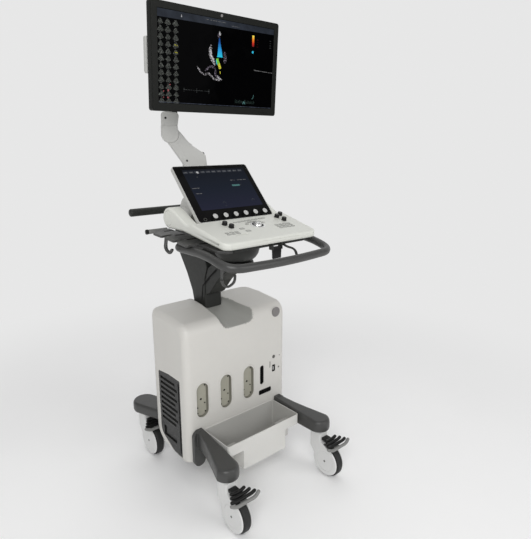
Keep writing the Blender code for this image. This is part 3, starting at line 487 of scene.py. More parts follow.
def mesh_object(name, builder, look, crease=35):
    bmesh.ops.recalc_face_normals(builder, faces=builder.faces)
    builder.transform(Matrix.Translation(DATUM))
    mesh = bpy.data.meshes.new(name)
    builder.to_mesh(mesh)
    builder.free()
    mesh.shade_smooth()
    mesh.set_sharp_from_angle(angle=radians(crease))
    mesh.materials.append(LOOKS[look])
    made = bpy.data.objects.new(name, mesh)
    bpy.context.scene.collection.objects.link(made)
    return made


def round_edges(obj, width, segments, angle=38):
    modifier = obj.modifiers.new("round_edges", "BEVEL")
    modifier.width = width
    modifier.segments = segments
    modifier.limit_method = "ANGLE"
    modifier.angle_limit = radians(angle)
    modifier.use_clamp_overlap = False


def piece(name, builder, look, body, stands_for=(), steps=()):
    """One visible piece. Its steps join, cut or keep another shape, or round the edges made so far.

    A step is (action, builder or object[, look of the faces it makes]) or ("round", width[, angle]).
    """
    made = mesh_object(name, builder, look)
    helpers = []
    for action, value, *more in steps:
        if action == "round":
            round_edges(made, value, 3 if value > 0.002 else 2, *more)
            continue
        is_made = isinstance(value, bpy.types.Object)
        helper = value if is_made else mesh_object("helper", value, more[0] if more else look)
        helpers.append(helper)
        modifier = made.modifiers.new(action, "BOOLEAN")
        modifier.operation = {"join": "UNION", "cut": "DIFFERENCE", "keep": "INTERSECT"}[action]
        modifier.solver = "EXACT"
        modifier.material_mode = "TRANSFER"
        modifier.object = helper
    bake(made)
    for helper in helpers:
        bpy.data.objects.remove(helper, do_unlink=True)
    finish_piece(made, body)
    for node in stands_for:
        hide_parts(node)
    return made


def finish_piece(made, body):
    clean = bmesh.new()
    clean.from_mesh(made.data)
    bmesh.ops.remove_doubles(clean, verts=clean.verts, dist=2e-6)
    clean.to_mesh(made.data)
    clean.free()
    made.data.shade_smooth()
    made.data.set_sharp_from_angle(angle=radians(35))
    normals = made.modifiers.new("even_normals", "WEIGHTED_NORMAL")
    normals.keep_sharp = True
    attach(made, body)


def cutter(builder, look, *cuts):
    """A helper solid that is itself cut, ready to be used as a step of a piece."""
    made = mesh_object("helper", builder, look)
    for other in cuts:
        helper = mesh_object("helper", other, look)
        modifier = made.modifiers.new("cut", "BOOLEAN")
        modifier.solver = "EXACT"
        modifier.object = helper
        bake(made)
        bpy.data.objects.remove(helper, do_unlink=True)
    return made


def band(outer, inner, low, high, axes):
    """A closed ring between two outlines with the same number of points."""
    rings = []
    for outline, w in ((outer, low), (outer, high), (inner, high), (inner, low)):
        rings.append([axes @ Vector((u, v, w)) for u, v in outline])
    rings.append(rings[0])
    builder = loft(rings, caps=False)
    bmesh.ops.remove_doubles(builder, verts=builder.verts, dist=1e-7)
    return builder


# Body
WALL = 0.004
EDGE_R = 0.026  # the body's front vertical edges
BACK_R = BODY_BACK - 0.205  # and its rear ones
TOP_SLOPE = 0.1
PORTS_X = (-0.1675, -0.062, 0.0465)
PORT_LOW, PORT_HIGH, PORT_HALF_W = 0.277, 0.411, 0.0255
BIN_FRONT, BIN_BACK = -0.146, BODY_FRONT - 0.0006


def body_solid(inset=0.0, open_bottom=0.0):
    """Rounded side profiles lofted along X, close together where the vertical edges turn."""
    half_w = BODY_HALF_W - inset
    xs = {0.09}
    xs |= {half_w - BACK_R * (1 - sin(radians(a))) for a in (0, 12, 24, 34)}
    xs |= {half_w - EDGE_R * (1 - sin(radians(a))) for a in range(0, 91, 10)}
    rings = []
    for x in [-x for x in sorted(xs, reverse=True)] + sorted(xs):
        over = max(0.0, abs(x) - (half_w - EDGE_R))
        front_in = EDGE_R - sqrt(max(0.0, EDGE_R**2 - over**2))
        beyond = max(0.0, abs(x) - (half_w - BACK_R))
        back = BODY_BACK - BACK_R - inset + sqrt(max(0.0, BACK_R**2 - beyond**2))
        front = BODY_FRONT + inset + front_in
        top = 0.634 - inset - front_in * 0.8
        bottom = BODY_LOW.z + inset - open_bottom + front_in * 0.2
        corners = [
            (front, bottom),
            (back, bottom + 0.02),
            (back, top + TOP_SLOPE * 0.15),
            (0.155, top + TOP_SLOPE * 0.15),
            (front, top + TOP_SLOPE * front),
        ]
        ring = rounded(corners, [0.012, 0.062, 0.024, 0.06, 0.045], 9)
        rings.append([Vector((x, y, z)) for y, z in ring])
    return loft(rings)


def scoop_solid(grow=0.0):
    """The trough in front of the column, wider and deeper towards the front."""
    rings = []
    for k in range(13):
        t = k / 12
        y = -0.03 + 0.3 * t
        half_w = 0.083 - 0.034 * min(1, t * 1.15) ** 0.8 + grow
        floor = 0.58 + 0.05 * sin(min(1.0, t * 1.1) * pi / 2) - grow
        bend = 0.052 - 0.016 * t
        corners = [(-half_w - 0.02, 0.74), (-half_w, floor), (half_w, floor), (half_w + 0.02, 0.74)]
        ring = rounded(corners, [0, bend, bend, 0], 12)
        rings.append([Vector((x, y, z)) for x, z in ring])
    return loft(rings)


def vent_outline(grow=0.0):
    front, back, low, high = 0.047, 0.196, 0.116, 0.424
    corners = [
        (front - grow, low - grow),
        (0.105, low - grow),
        (back + grow, 0.163),
        (back + grow, high - 0.006 + grow),
        (0.12, high + 0.002 + grow),
        (front - grow, high + grow),
    ]
    return rounded(corners, [0.004, 0.05, 0.04, 0.006, 0.05, 0.004], 6)


def io_openings(grow=0.0):
    """Slim port, wide connector, round socket, tall socket, small dot, thin mark."""
    return [
        upright_slot(0.114, 0.313 - grow, 0.393 + grow, 0.0095 + grow),
        rounded(rectangle((0.098 - grow, 0.269 - grow), (0.162 + grow, 0.289 + grow)), 0.006),
        circle((0.176, 0.414), 0.007 + grow, 24),
        rounded(rectangle((0.168 - grow, 0.35 - grow), (0.184 + grow, 0.379 + grow)), 0.003),
        circle((0.203, 0.362), 0.0035 + grow, 16),
        rectangle((0.155 - grow, 0.371 - grow), (0.158 + grow, 0.398 + grow)),
    ]


def make_body():
    inside = cutter(body_solid(WALL, 0.05), "body_grey", scoop_solid(WALL))
    hole = (0.04, 0.1615, 0.2445)  # around the column
    # the trough's faces take the darker grey, painted as the shade inside the trough
    steps = [("cut", scoop_solid(), "scoop_grey"), ("round", 0.005, 45), ("cut", inside)]
    cuts = [
        box((-0.3, -0.02, 0.02), (0.3, 0.165, BODY_LOW.z + 0.0005)),
        box((-hole[0], hole[1], 0.5), (hole[0], hole[2], 0.7)),
        prism(vent_outline(0.0006), -0.3, -0.2, SIDE),
        prism(vent_outline(0.0006), 0.2, 0.3, SIDE),
        box((-0.13, 0.22, 0.224), (0.13, 0.3, 0.55)),
    ]
    for x in PORTS_X:
        cuts.append(prism(upright_slot(x, PORT_LOW, PORT_HIGH, PORT_HALF_W), -0.03, 0.03, FRONT))
        outer, inner = (
            upright_slot(x, PORT_LOW - d, PORT_HIGH + d, PORT_HALF_W + d) for d in (0.0068, 0.0056)
        )
        cuts.append(band(outer, inner, -BODY_FRONT - 0.0011, 0.01, FRONT))
    cuts += [prism(outline, -0.03, 0.03, FRONT) for outline in io_openings(0.0004)]
    for side in (-1, 1):
        leg = capsule((side * 0.158, 0.205), (side * 0.215, 0.364), 0.0495)
        cuts.append(prism(leg, 0.05, LEG_TOP + 0.002))
    seam = rectangle((-0.1755, 0.2292), (0.1755, 0.2309))
    cuts.append(prism(seam, -BODY_FRONT - 0.0022, 0.01, FRONT))
    steps += [("cut", cut) for cut in cuts] + [("round", 0.0007)]
    piece("body_cover", body_solid(), "body_grey", "chassis", ["body_shell"], steps)

    disc = [(0.02, -BODY_FRONT - 0.001), (0.02, -BODY_FRONT + 0.001), (0.0188, -BODY_FRONT + 0.0016)]
    at = Matrix.Translation((0.186, 0, 0.601)) @ FRONT
    piece("front_medallion", stacked(disc, at), "medallion", "chassis")


def make_rear_cover():
    cover = rounded(rectangle((-0.136, 0.2215), (0.136, 0.556)), 0.012)
    steps = [("join", prism(rectangle((-0.1294, 0.2246), (0.1294, 0.5494)), -0.2667, -0.257, FRONT))]
    for row in range(6):
        low = 0.42 + row * 0.018
        slot = rounded(rectangle((-0.09, low), (0.09, low + 0.007)), 0.003, 4)
        steps.append(("cut", prism(slot, -0.28, -0.25, FRONT)))
    socket = rounded(rectangle((-0.11, 0.245), (-0.06, 0.275)), 0.004, 4)
    steps += [("cut", prism(socket, -0.28, -0.2655, FRONT)), ("round", 0.0008)]
    piece("rear_panel", prism(cover, -0.2705, -0.2665, FRONT), "vent_grey", "chassis", ["rear_cover"], steps)

    screws = []
    for x in (-0.126, 0.126):
        for z in (0.228, 0.387, 0.546):
            screws.append(cylinder((x, z), 0.0036, -0.2712, -0.27, FRONT, 20))
    pins = [box((-0.1 + i * 0.012, 0.265, 0.255), (-0.096 + i * 0.012, 0.269, 0.265)) for i in range(3)]
    piece("rear_panel_screws", merged(*screws), "steel", "chassis")
    piece("mains_inlet_pins", merged(*pins), "steel", "chassis")


VENT_ROWS, VENT_LOW, VENT_PITCH = 9, 0.222, 0.0205  # of the louvres


def make_vents():
    for side, name in ((-1, "left"), (1, "right")):

        def slab(outline, deep, out):
            """From one depth to another below the body's side face."""
            return prism(outline, *beside(side, BODY_HALF_W - deep, BODY_HALF_W - out), SIDE)

        steps = []
        for row in range(VENT_ROWS):
            z = VENT_LOW + row * VENT_PITCH
            start = 0.07 if row % 2 else 0.084
            slot = rounded(rectangle((start, z), (0.184, z + 0.015)), 0.0012, 2)
            steps.append(("cut", slab(slot, 0.0075, -0.002)))
        steps.append(("cut", slab(rounded(rectangle((0.084, 0.157), (0.174, 0.199)), 0.004), 0.0065, -0.001)))
        steps.append(("cut", slab(rectangle((0.0535, 0.13), (0.06, 0.412)), 0.0042, -0.001)))
        for z in (0.215, 0.275, 0.345, 0.4):
            steps.append(("cut", slab(rectangle((0.048, z), (0.062, z + 0.004)), 0.003, -0.001)))
        steps.append(("round", 0.0006))
        node = [f"side_vent_{name}"]
        piece(f"vent_panel_{name}", slab(vent_outline(), 0.009, 0.0012), "vent_grey", "chassis", node, steps)

        fins = []
        for row in range(VENT_ROWS):
            z = VENT_LOW + 0.0005 + row * VENT_PITCH
            start = 0.071 if row % 2 else 0.085
            fin = rectangle((start, z), (0.183, z + 0.003))
            fins.append(slab(fin, 0.007, 0.001))
        piece(f"vent_fins_{name}", merged(*fins), "dark_grey", "chassis")


def make_ports():
    face = -BODY_FRONT
    for x, name in zip(PORTS_X, ("left", "middle", "right")):
        cup, well, plate = (
            upright_slot(x, PORT_LOW + d, PORT_HIGH - d, PORT_HALF_W - d) for d in (0.0004, 0.0016, 0.003)
        )
        middle = (PORT_LOW + PORT_HIGH) / 2
        deep = face - 0.013
        steps = [
            ("cut", prism(well, deep, 0.0, FRONT)),
            ("cut", cylinder((x, middle), 0.0045, face - 0.02, 0.0, FRONT, 24)),
            ("round", 0.0005),
        ]
        at = [f"probe_port_{name}"]
        # the cup's walls take the darker grey, painted as the shade in the port recess
        piece(
            f"port_{name}", prism(cup, face - 0.022, face - 0.0022, FRONT), "port_wall_shade", "chassis", at,
            steps,
        )
        steps = [
            ("cut", cylinder((x, middle), 0.0045, deep - 0.002, 0.0, FRONT, 24)),
            ("cut", prism(upright_slot(x, 0.3, 0.388, 0.0105), deep + 0.0004, 0.0, FRONT)),
            ("round", 0.0003),
        ]
        piece(
            f"port_{name}_plate", prism(plate, deep - 0.001, deep + 0.0012, FRONT), "port_beige",
            "chassis", (), steps,
        )
        spots = [(x + sx * 0.0165, middle + sz * 0.052) for sx in (-1, 1) for sz in (-1, 1)]
        spots += [(x + 0.015, middle - 0.018), (x - 0.016, middle - 0.03)]
        heads = [cylinder(spot, 0.0027, deep + 0.0003, deep + 0.0019, FRONT, 16) for spot in spots]
        piece(f"port_{name}_screws", merged(*heads), "recess_black", "chassis")
        plug = cylinder((x, middle), 0.004, face - 0.019, face - 0.015, FRONT, 20)
        piece(f"port_{name}_socket", plug, "recess_black", "chassis")


def make_io_panel():
    face = -BODY_FRONT
    slim, wide, round_socket, tall, dot, mark = io_openings(-0.0004)
    piece(
        "slim_port",
        prism(slim, face - 0.01, face - 0.0025, FRONT),
        "recess_black",
        "chassis",
        ["io_panel"],
        [
            ("cut", prism(upright_slot(0.114, 0.318, 0.388, 0.005), face - 0.008, 0.0, FRONT)),
            ("round", 0.0004),
        ],
    )
    inner = [rounded(rectangle((x, 0.2735), (x + 0.02, 0.2845)), 0.002, 3) for x in (0.103, 0.134)]
    cuts = [("cut", prism(outline, face - 0.006, 0.0, FRONT)) for outline in inner]
    piece(
        "wide_connector", prism(wide, face - 0.01, face - 0.001, FRONT), "recess_black", "chassis", (),
        cuts,
    )
    piece(
        "round_socket", prism(round_socket, face - 0.008, face + 0.0006, FRONT), "print_and_gap_shade_grey", "chassis",
        (), [("round", 0.0006)],
    )
    steps = [("cut", prism(rectangle((0.1715, 0.355), (0.1805, 0.374)), face - 0.006, 0.0, FRONT))]
    piece("tall_socket", prism(tall, face - 0.01, face - 0.001, FRONT), "recess_black", "chassis", (), steps)
    tongue = prism(rectangle((0.1735, 0.3565), (0.1765, 0.3725)), face - 0.0058, face - 0.002, FRONT)
    piece("tall_socket_tongue", tongue, "silver", "chassis")
    piece("small_marks", merged(
        prism(dot, face - 0.006, face - 0.0004, FRONT),
        prism(mark, face - 0.006, face - 0.0006, FRONT),
        cylinder((0.206, 0.413), 0.0022, face - 0.001, face + 0.0003, FRONT, 14),
    ), "print_and_gap_shade_grey", "chassis")


def even_ring(corners, radii, z, steps=6):
    """A ring with the same number of points at every corner, whether round or sharp."""
    points = []
    for i, corner in enumerate(corners):
        near = [corners[i - 1], corner, corners[(i + 1) % len(corners)]]
        turn = rounded(near, [0, radii[i], 0], steps)[1:-1]
        points += turn if radii[i] > 0 else [corner] * (steps + 1)
    return [Vector((x, y, z)) for x, y in points]


def bin_ring(z, inset, notched):
    """The bin in plan. Its deep well has notched front corners, to clear the casters."""
    side, narrow, notch = 0.17 - inset, 0.101 - inset, -0.088 + inset
    front, back, r = BIN_FRONT + inset, BIN_BACK - inset, 0.0085 - inset
    corner, corner_r = ((-narrow, notch), 0) if notched else ((-side, front), r)
    half = [(-side, back), (-side, notch), corner, (-narrow, front)]
    return even_ring(half + [(-x, y) for x, y in reversed(half)], [r, 0, corner_r, 0, 0, corner_r, 0, r], z)


def make_bin():
    """A wide tray over a deep well, moulded as one thin shell."""
    rim, step, floor, wall = 0.227, 0.186, 0.108, 0.003
    solids = []
    for low, turn, high, inset in ((floor, step, rim, 0.0), (floor + wall, step + wall, rim + 0.02, wall)):
        levels = ((low, True), (turn, True), (turn, False), (high, False))
        solid = loft([bin_ring(z, inset, notched) for z, notched in levels])
        bmesh.ops.remove_doubles(solid, verts=solid.verts, dist=1e-6)
        solids.append(solid)
    outside, inside = solids
    # the faces cut inside the bin take the darker grey, painted as the shade within the bin
    steps = [("cut", inside, "bin_inside"), ("round", 0.0009)]
    piece("storage_bin", outside, "bin_grey", "chassis", ["front_bin"], steps)


# Base, legs and casters
LEG_TOP = node_box("base_frame")[1].z
LEG_BOTTOM = LEG_TOP - 0.045
PIN_TOP = LEG_TOP - 0.018  # of a caster's swivel pin, inside its leg


def make_base():
    plate = rounded([(-0.17, 0.03), (0.17, 0.03), (0.17, 0.235), (-0.17, 0.235)], 0.02)
    top, bottom = LEG_TOP, LEG_BOTTOM
    profile = [(0.04, bottom), (0.0455, bottom + 0.004), (0.048, bottom + 0.012), (0.048, top - 0.014)]
    profile += [(0.0472, top - 0.008), (0.0445, top - 0.0028), (0.04, top)]
    steps = []
    for side in (-1, 1):
        inner, cap = (side * 0.158, 0.205), (side * 0.215, 0.364)
        rings = [[Vector((x, y, z)) for x, y in capsule(inner, cap, r, 20)] for r, z in profile]
        steps.append(("join", loft(rings)))
        steps.append(("join", cylinder(inner, 0.012, 0.12, 0.19)))
    for side in (-1, 1):
        spot = CASTERS["rear_left"]
        steps.append(("cut", cylinder((side * spot.x, spot.y), 0.0102, 0.15, PIN_TOP + 0.005)))
    piece("chassis_base", prism(plate, 0.111, 0.131), "dark_grey", "chassis", ["base_frame"], steps)


def front_leg(side):
    """A leg that widens from the body to its round end, with softly rounded top edges."""
    end = Vector((side * 0.222, -0.206))
    back = BODY_FRONT - 0.0006
    tip = arc(end, 0.042, 180, 360, 28)
    inner = [(-0.1765, -0.02), (-0.1765, back)]
    outer = [(-0.206, back), (-0.2085, -0.03), (-0.22, -0.08), (-0.24, -0.14)]
    if side < 0:
        outline = tip + inner + outer
    else:
        outline = tip + [(-x, y) for x, y in reversed(inner + outer)]
    shares = (
        (0.9, 0.0), (0.965, 0.05), (1.0, 0.16), (1.0, 0.55), (0.985, 0.7), (0.95, 0.84), (0.88, 0.94),
        (0.78, 0.99), (0.68, 1.0),
    )
    rings = []
    for share, height in shares:
        ring = []
        for u, v in outline:
            near = min(1.0, max(0.0, (v - end.y) / 0.2))
            top = LEG_TOP + 0.02 * near
            spine = Vector((side * (0.192 + 0.03 * min(1.0, max(0.0, -v / 0.206))), v))
            centre = end if v < end.y else spine
            draw = share + (1 - share) * 0.5 * near
            x = centre.x + (u - centre.x) * draw
            y = centre.y + (v - centre.y) * draw
            ring.append(Vector((x, y, LEG_BOTTOM + (top - LEG_BOTTOM) * height)))
        rings.append(ring)
    return loft(rings)


def make_front_legs():
    for side, name in ((-1, "front_left"), (1, "front_right")):
        face = -BODY_FRONT + 0.0006
        pillar = upright_slot(side * 0.197, 0.097, 0.24, 0.024, 18)
        swivel = CASTERS[name]
        steps = [
            ("join", prism(pillar, face, 0.012, FRONT)),
            ("cut", cylinder(swivel.xy, 0.0102, 0.15, PIN_TOP + 0.004)),
            ("round", 0.0022),
        ]
        piece(f"front_leg_{name[6:]}", front_leg(side), "dark_grey", "chassis", [f"leg_{name}"], steps)


def make_casters():
    for name, swivel in CASTERS.items():
        x, y = swivel.xy
        axle = axes_at((x, y - TRAIL, AXLE_Z), (0, 1, 0), (0, 0, 1))
        at_x = axes_at((x, 0, 0), (0, 1, 0), (0, 0, 1))
        hub = (y - TRAIL, AXLE_Z)
        top = LEG_BOTTOM - 0.0005
        neck = top - 0.01
        disc = arc(hub, 0.0575, 10, -262, 60)
        outline = disc + [
            (y - 0.0275, neck - 0.032), (y - 0.0265, neck - 0.026), (y - 0.026, neck), (y + 0.026, neck),
            (y + 0.026, 0.1),
        ]
        steps = [
            ("round", 0.0045),
            ("cut", cylinder(hub, 0.0655, -0.0165, 0.0165, at_x, 72)),
            ("join", cylinder(hub, 0.005, -0.0205, 0.0205, at_x, 24)),
            (
                "join",
                stacked([(0.0245, neck - 0.003), (0.0245, top - 0.001), (0.0235, top)], PLAN, 40, (x, y)),
            ),
            ("join", cylinder((x, y), 0.0093, top - 0.002, PIN_TOP)),
            ("cut", band(circle(hub, 0.04, 60), circle(hub, 0.0392, 60), 0.0209, 0.03, at_x)),
            ("cut", band(circle(hub, 0.04, 60), circle(hub, 0.0392, 60), -0.03, -0.0209, at_x)),
            ("round", 0.0006),
        ]
        piece(
            f"caster_cover_{name}", prism(outline, -0.0215, 0.0215, at_x), "caster_grey",
            f"caster_{name}", [f"caster_{name}"], steps,
        )
        caps = [cylinder(hub, 0.0042, side * 0.0213, side * 0.0221, at_x, 24) for side in (-1, 1)]
        piece(f"axle_caps_{name}", merged(*caps), "print_and_gap_shade_grey", f"caster_{name}")

        r, w = WHEEL_R, 0.015
        tread = [(r, -w + 0.006), (r, w - 0.006), (r - 0.0008, w - 0.0038), (r - 0.0026, w - 0.002)]
        wall = [(r - 0.005, w - 0.001), (0.0505, w), (0.0488, w - 0.0012)]
        hub_side = [(0.0465, w - 0.003), (0.012, w - 0.003), (0.011, w), (0.0053, w)]
        half = tread[1:] + wall + hub_side
        profile = half + [(radius, -depth) for radius, depth in reversed(half)]
        piece(f"tyre_{name}", turned(profile, axle, 96), "tyre", f"wheel_{name}", [f"wheel_{name}"])
        make_pedal(name, x, joint_place(f"pedal_{name}_press"))


def make_pedal(name, x, hinge):
    """A black foot pedal with three raised ribs, over a grey lever whose ends curl up."""
    y, z = hinge.y, hinge.z
    stem = rounded(rectangle((x - 0.0155, y - 0.05), (x + 0.0155, y + 0.0025)), 0.003, 4)
    steps = []
    for half, depth, height in ((0.026, 0.03, 0.0065), (0.036, 0.045, 0.005), (0.046, 0.06, 0.003)):
        rib = [(x - half, y - depth, z + height + 0.004), (x - half + 0.012, y - depth, z + height)]
        rib += [(2 * x - px, py, pz) for px, py, pz in reversed(rib)]
        steps.append(("join", tube(bent(rib, [0.006, 0.006], 4), 0.0062, 0.0058, 16)))
    steps.append(("round", 0.0008))
    body = f"pedal_{name}"
    piece(
        f"pedal_top_{name}", prism(stem, z - 0.0045, z + 0.0055), "black_plastic", body,
        [f"brake_pedal_{name}"], steps,
    )
    bow = [(x - 0.055, y - 0.07, z + 0.0045), (x - 0.04, y - 0.0745, z - 0.004)]
    bow += [(2 * x - px, py, pz) for px, py, pz in reversed(bow)]
    lever = tube(bent(bow, [0.012, 0.012], 6), 0.0062, 0.0056, 20)
    arm = prism(
        rounded(rectangle((x - 0.012, y - 0.074), (x + 0.012, y - 0.03)), 0.003, 4), z - 0.0085,
        z - 0.005,
    )
    piece(f"pedal_lever_{name}", lever, "lever_grey", body, (), [("join", arm), ("round", 0.0006)])


# Column
def make_column():
    half, front, back, top = 0.0385, 0.163, 0.243, 0.955
    rear_side = [(back, 0.2), (back, 0.645), (0.252, 0.68), (0.286, 0.745), (0.352, 0.842), (0.362, 0.9)]
    outline = rear_side + [(0.362, top), (0.215, top), (0.2, 0.88), (0.158, 0.824), (0.1445, 0.792)]
    outline += [(front, 0.74), (front, 0.2)]
    radii = [0.002, 0, 0.03, 0.08, 0.05, 0.05, 0.012, 0.008, 0.03, 0.02, 0.015, 0.02, 0.002]
    piece(
        "column", prism(rounded(outline, radii, 6), -half, half, SIDE), "column_grey", "lift",
        ["lift_column"], [("round", 0.0035)],
    )

    edge = front - 0.0006
    under = [(-0.045, 0.822), (0.02, 0.802), (0.085, 0.748), (0.135, 0.69)]
    outline = [
        (edge, 0.676), (edge, 0.738), (0.1435, 0.788), (0.09, 0.826), (0.075, 0.836), (-0.045, 0.836),
    ] + under
    radii = [0.006, 0.015, 0.012, 0.01, 0.006, 0.003, 0.006, 0.05, 0.05, 0.03]
    seat = (0, joint_place("deck_swivel").y)
    steps = [
        ("join", stacked([(0.0585, 0.818), (0.06, 0.8195), (0.06, DECK_Z - 0.001)], PLAN, 56, seat)),
        ("join", cylinder(seat, 0.012, 0.83, DECK_Z + 0.018)),
        ("round", 0.003),
    ]
    piece(
        "bracket", prism(rounded(outline, radii, 6), -0.036, 0.036, SIDE), "column_grey", "lift",
        ["deck_bracket"], steps,
    )
    groove = [
        (0.1865, 0.655), (0.1765, 0.716), (0.128, 0.762), (0.086, 0.796), (0.083, 0.792), (0.125, 0.758),
        (0.1725, 0.712), (0.1825, 0.655),
    ]
    for side in (-1, 1):
        low, high = beside(side, half + 0.0001, half + 0.0007)
        piece(f"column_seam_{SIDES[side > 0]}", prism(groove, low, high, SIDE), "recess_black", "lift")

    spot = Vector((0, 0.35, 0.993))
    grip = [Vector((x, spot.y, spot.z)) for x in (-0.23, -0.1, 0.0, 0.1, 0.23)]
    steps = []
    for side in (-1, 1):
        foot = Vector((side * 0.028, spot.y - 0.015, top + 0.0006))
        stay = bent([Vector((foot.x, spot.y, spot.z)), foot + Vector((0, 0, 0.022)), foot], [0.012], 5)
        steps.append(("join", tube(stay, 0.01, 0.012, 20, up=(1, 0, 0), dome=0.0)))
    for x in (-0.214, 0.214):
        ring = band(
            circle((0, 0), 0.02, 32), circle((0, 0), 0.0139, 32), x - 0.0006, x + 0.0006,
            axes_at((0, spot.y, spot.z), (0, 1, 0), (0, 0, 1)),
        )
        steps.append(("cut", ring))
    piece(
        "rear_grip", tube(grip, 0.0145, 0.0145, 32, dome=0.45), "column_grey", "lift", ["rear_handle"],
        steps,
    )

    at = axes_at((POST.x, POST.y, 0))
    sections = [
        (0.046, top + 0.0006), (0.046, 1.008), (0.0452, 1.014), (0.0408, 1.028), (0.04, 1.034),
        (0.04, 1.078), (0.039, 1.0792),
    ]
    pin = cylinder((POST.x, POST.y), 0.012, 1.06, 1.09)
    piece("post", stacked(sections, at, 64), "arm_grey", "lift", ["arm_post"], [("join", pin)])


# Control deck
DECK_FRONT, DECK_CORNER, DECK_EDGE = -0.194, 0.03, 0.0085
DECK_HALF_W = 0.2115
BALL_AT = (0.016, -0.088)


def deck_side(front, inset):
    """The deck's side view: sloping underside, touch panel barrel, rise and sloping top."""
    low = 0.9229 + 0.1563 * (front + 0.22)
    top = deck_top(front) - inset
    barrel = arc((BARREL.y, BARREL.z), 0.0355 - inset, -90, 105, 30)
    rise = [(0.074, 1.02), (0.054, 1.0087), (0.034, 0.998), (0.018, 0.9905), (0.003, 0.9845)]
    rise.append((-0.02, deck_top(-0.02)))
    rise = [(y, z - inset) for y, z in rise]
    corners = [(front, low + inset), (0.03, 0.962 + inset)] + barrel + rise + [(front, top)]
    radii = [DECK_EDGE] + [0] * (len(corners) - 2) + [DECK_EDGE]
    return rounded(corners, radii, 5)


def deck_solid():
    """Side views lofted across the deck, which narrows a little towards its front."""
    xs = [DECK_HALF_W - DECK_CORNER * (1 - sin(radians(a))) for a in range(0, 64, 9)]
    xs += [DECK_HALF_W - DECK_EDGE * (1 - sin(radians(a))) for a in range(0, 91, 15)]
    rings = []
    for x in [-x for x in sorted(xs, reverse=True)] + sorted(xs):
        corner = max(0.0, abs(x) - (DECK_HALF_W - DECK_CORNER))
        edge = max(0.0, abs(x) - (DECK_HALF_W - DECK_EDGE))
        inset = DECK_EDGE - sqrt(DECK_EDGE**2 - min(edge, DECK_EDGE) ** 2)
        front = DECK_FRONT + DECK_CORNER - sqrt(DECK_CORNER**2 - min(corner, DECK_CORNER) ** 2)
        narrow = [1 + 0.15 * (y - 0.15) * (y < 0.15) for y, z in deck_side(front, inset)]
        rings.append([Vector((x * n, y, z)) for n, (y, z) in zip(narrow, deck_side(front, inset))])
    return loft(rings)


def make_deck():
    inner, hub = TOUCH_SIZE[0] + 0.0022, (BARREL.y, BARREL.z)
    ball = deck_seat(*BALL_AT)
    steps = [
        ("cut", prism(circle(hub, 0.038, 48), -inner, inner, SIDE)),
        ("cut", box((-inner, -0.0012, 0.9753), (inner, 0.2, 1.08))),
        ("cut", box((-inner, 0.092, 0.93), (inner, 0.2, 1.0))),
        ("cut", prism(circle(hub, 0.0105, 24), -0.19, 0.19, SIDE)),
        ("cut", box((-0.1625, -0.18, 0.9), (0.1625, 0.088, 0.9375))),
        ("cut", cylinder((0, 0), 0.0206, -0.045, 0.02, ball, 48)),
    ]
    for side in (-1, 1):
        cap = band(circle(hub, 0.025, 56), circle(hub, 0.0242, 56), *beside(side, 0.2085, 0.22), SIDE)
        steps.append(("cut", cap))
    seam = rectangle((-0.085, 0.9432), (0.117, 0.9441))
    steps.append(("cut", prism(seam, 0.193, 0.2, FRONT)))
    slot = rounded(rectangle((-0.12, -0.1465), (-0.066, -0.1425)), 0.0018, 4)
    steps.append(("cut", prism(slot, -0.004, 0.02, deck_seat(0, 0))))
    steps.append(("round", 0.0007))
    piece("deck_cover", deck_solid(), "deck_white", "deck", ["deck_shell"], steps)

    floor = rounded(rectangle((-0.16, -0.178), (0.16, 0.085)), 0.02)
    seat = (0, joint_place("deck_swivel").y)
    pod = [
        (0.0455, DECK_Z + 0.0005), (0.06, 0.8445), (0.07, 0.8535), (0.078, 0.866), (0.0825, 0.882),
        (0.084, 0.925),
    ]
    lever = joint_place("lever_squeeze")
    steps = [("join", stacked(pod, PLAN, 64, seat)), ("cut", cylinder(seat, 0.0125, 0.82, 0.862))]
    for x in (-0.006, 0.034):
        low = (x, lever.y - 0.006, lever.z - 0.007)
        steps.append(("join", box(low, (x + 0.004, lever.y + 0.014, lever.z + 0.013))))
    claw = [(0.052, -0.165, 0.922), (0.052, -0.196, 0.912), (0.078, -0.206, 0.904), (0.094, -0.2, 0.878)]
    steps.append(("join", tube(bent(claw, [0.012, 0.018]), 0.005, 0.0036, 16)))
    steps.append(("join", prism(circle((lever.y, lever.z), 0.0025, 20), -0.004, 0.036, SIDE)))
    steps.append(("round", 0.001))
    piece("deck_frame", prism(floor, 0.918, 0.937), "column_grey", "deck", ["deck_base"], steps)

    paddle = rounded(
        rectangle((lever.y - 0.004, lever.z - 0.037), (lever.y + 0.004, lever.z)), [0.003, 0.003, 0, 0],
        5,
    )
    hub = (lever.y, lever.z)
    steps = [
        ("join", prism(circle(hub, 0.0042, 28), -0.0015, 0.0335, SIDE)),
        ("cut", prism(circle(hub, 0.0029, 20), -0.01, 0.05, SIDE)),
        ("round", 0.0012),
    ]
    piece(
        "squeeze_lever", prism(paddle, -0.0012, 0.0332, SIDE), "black_plastic", "lever",
        ["release_lever"], steps,
    )


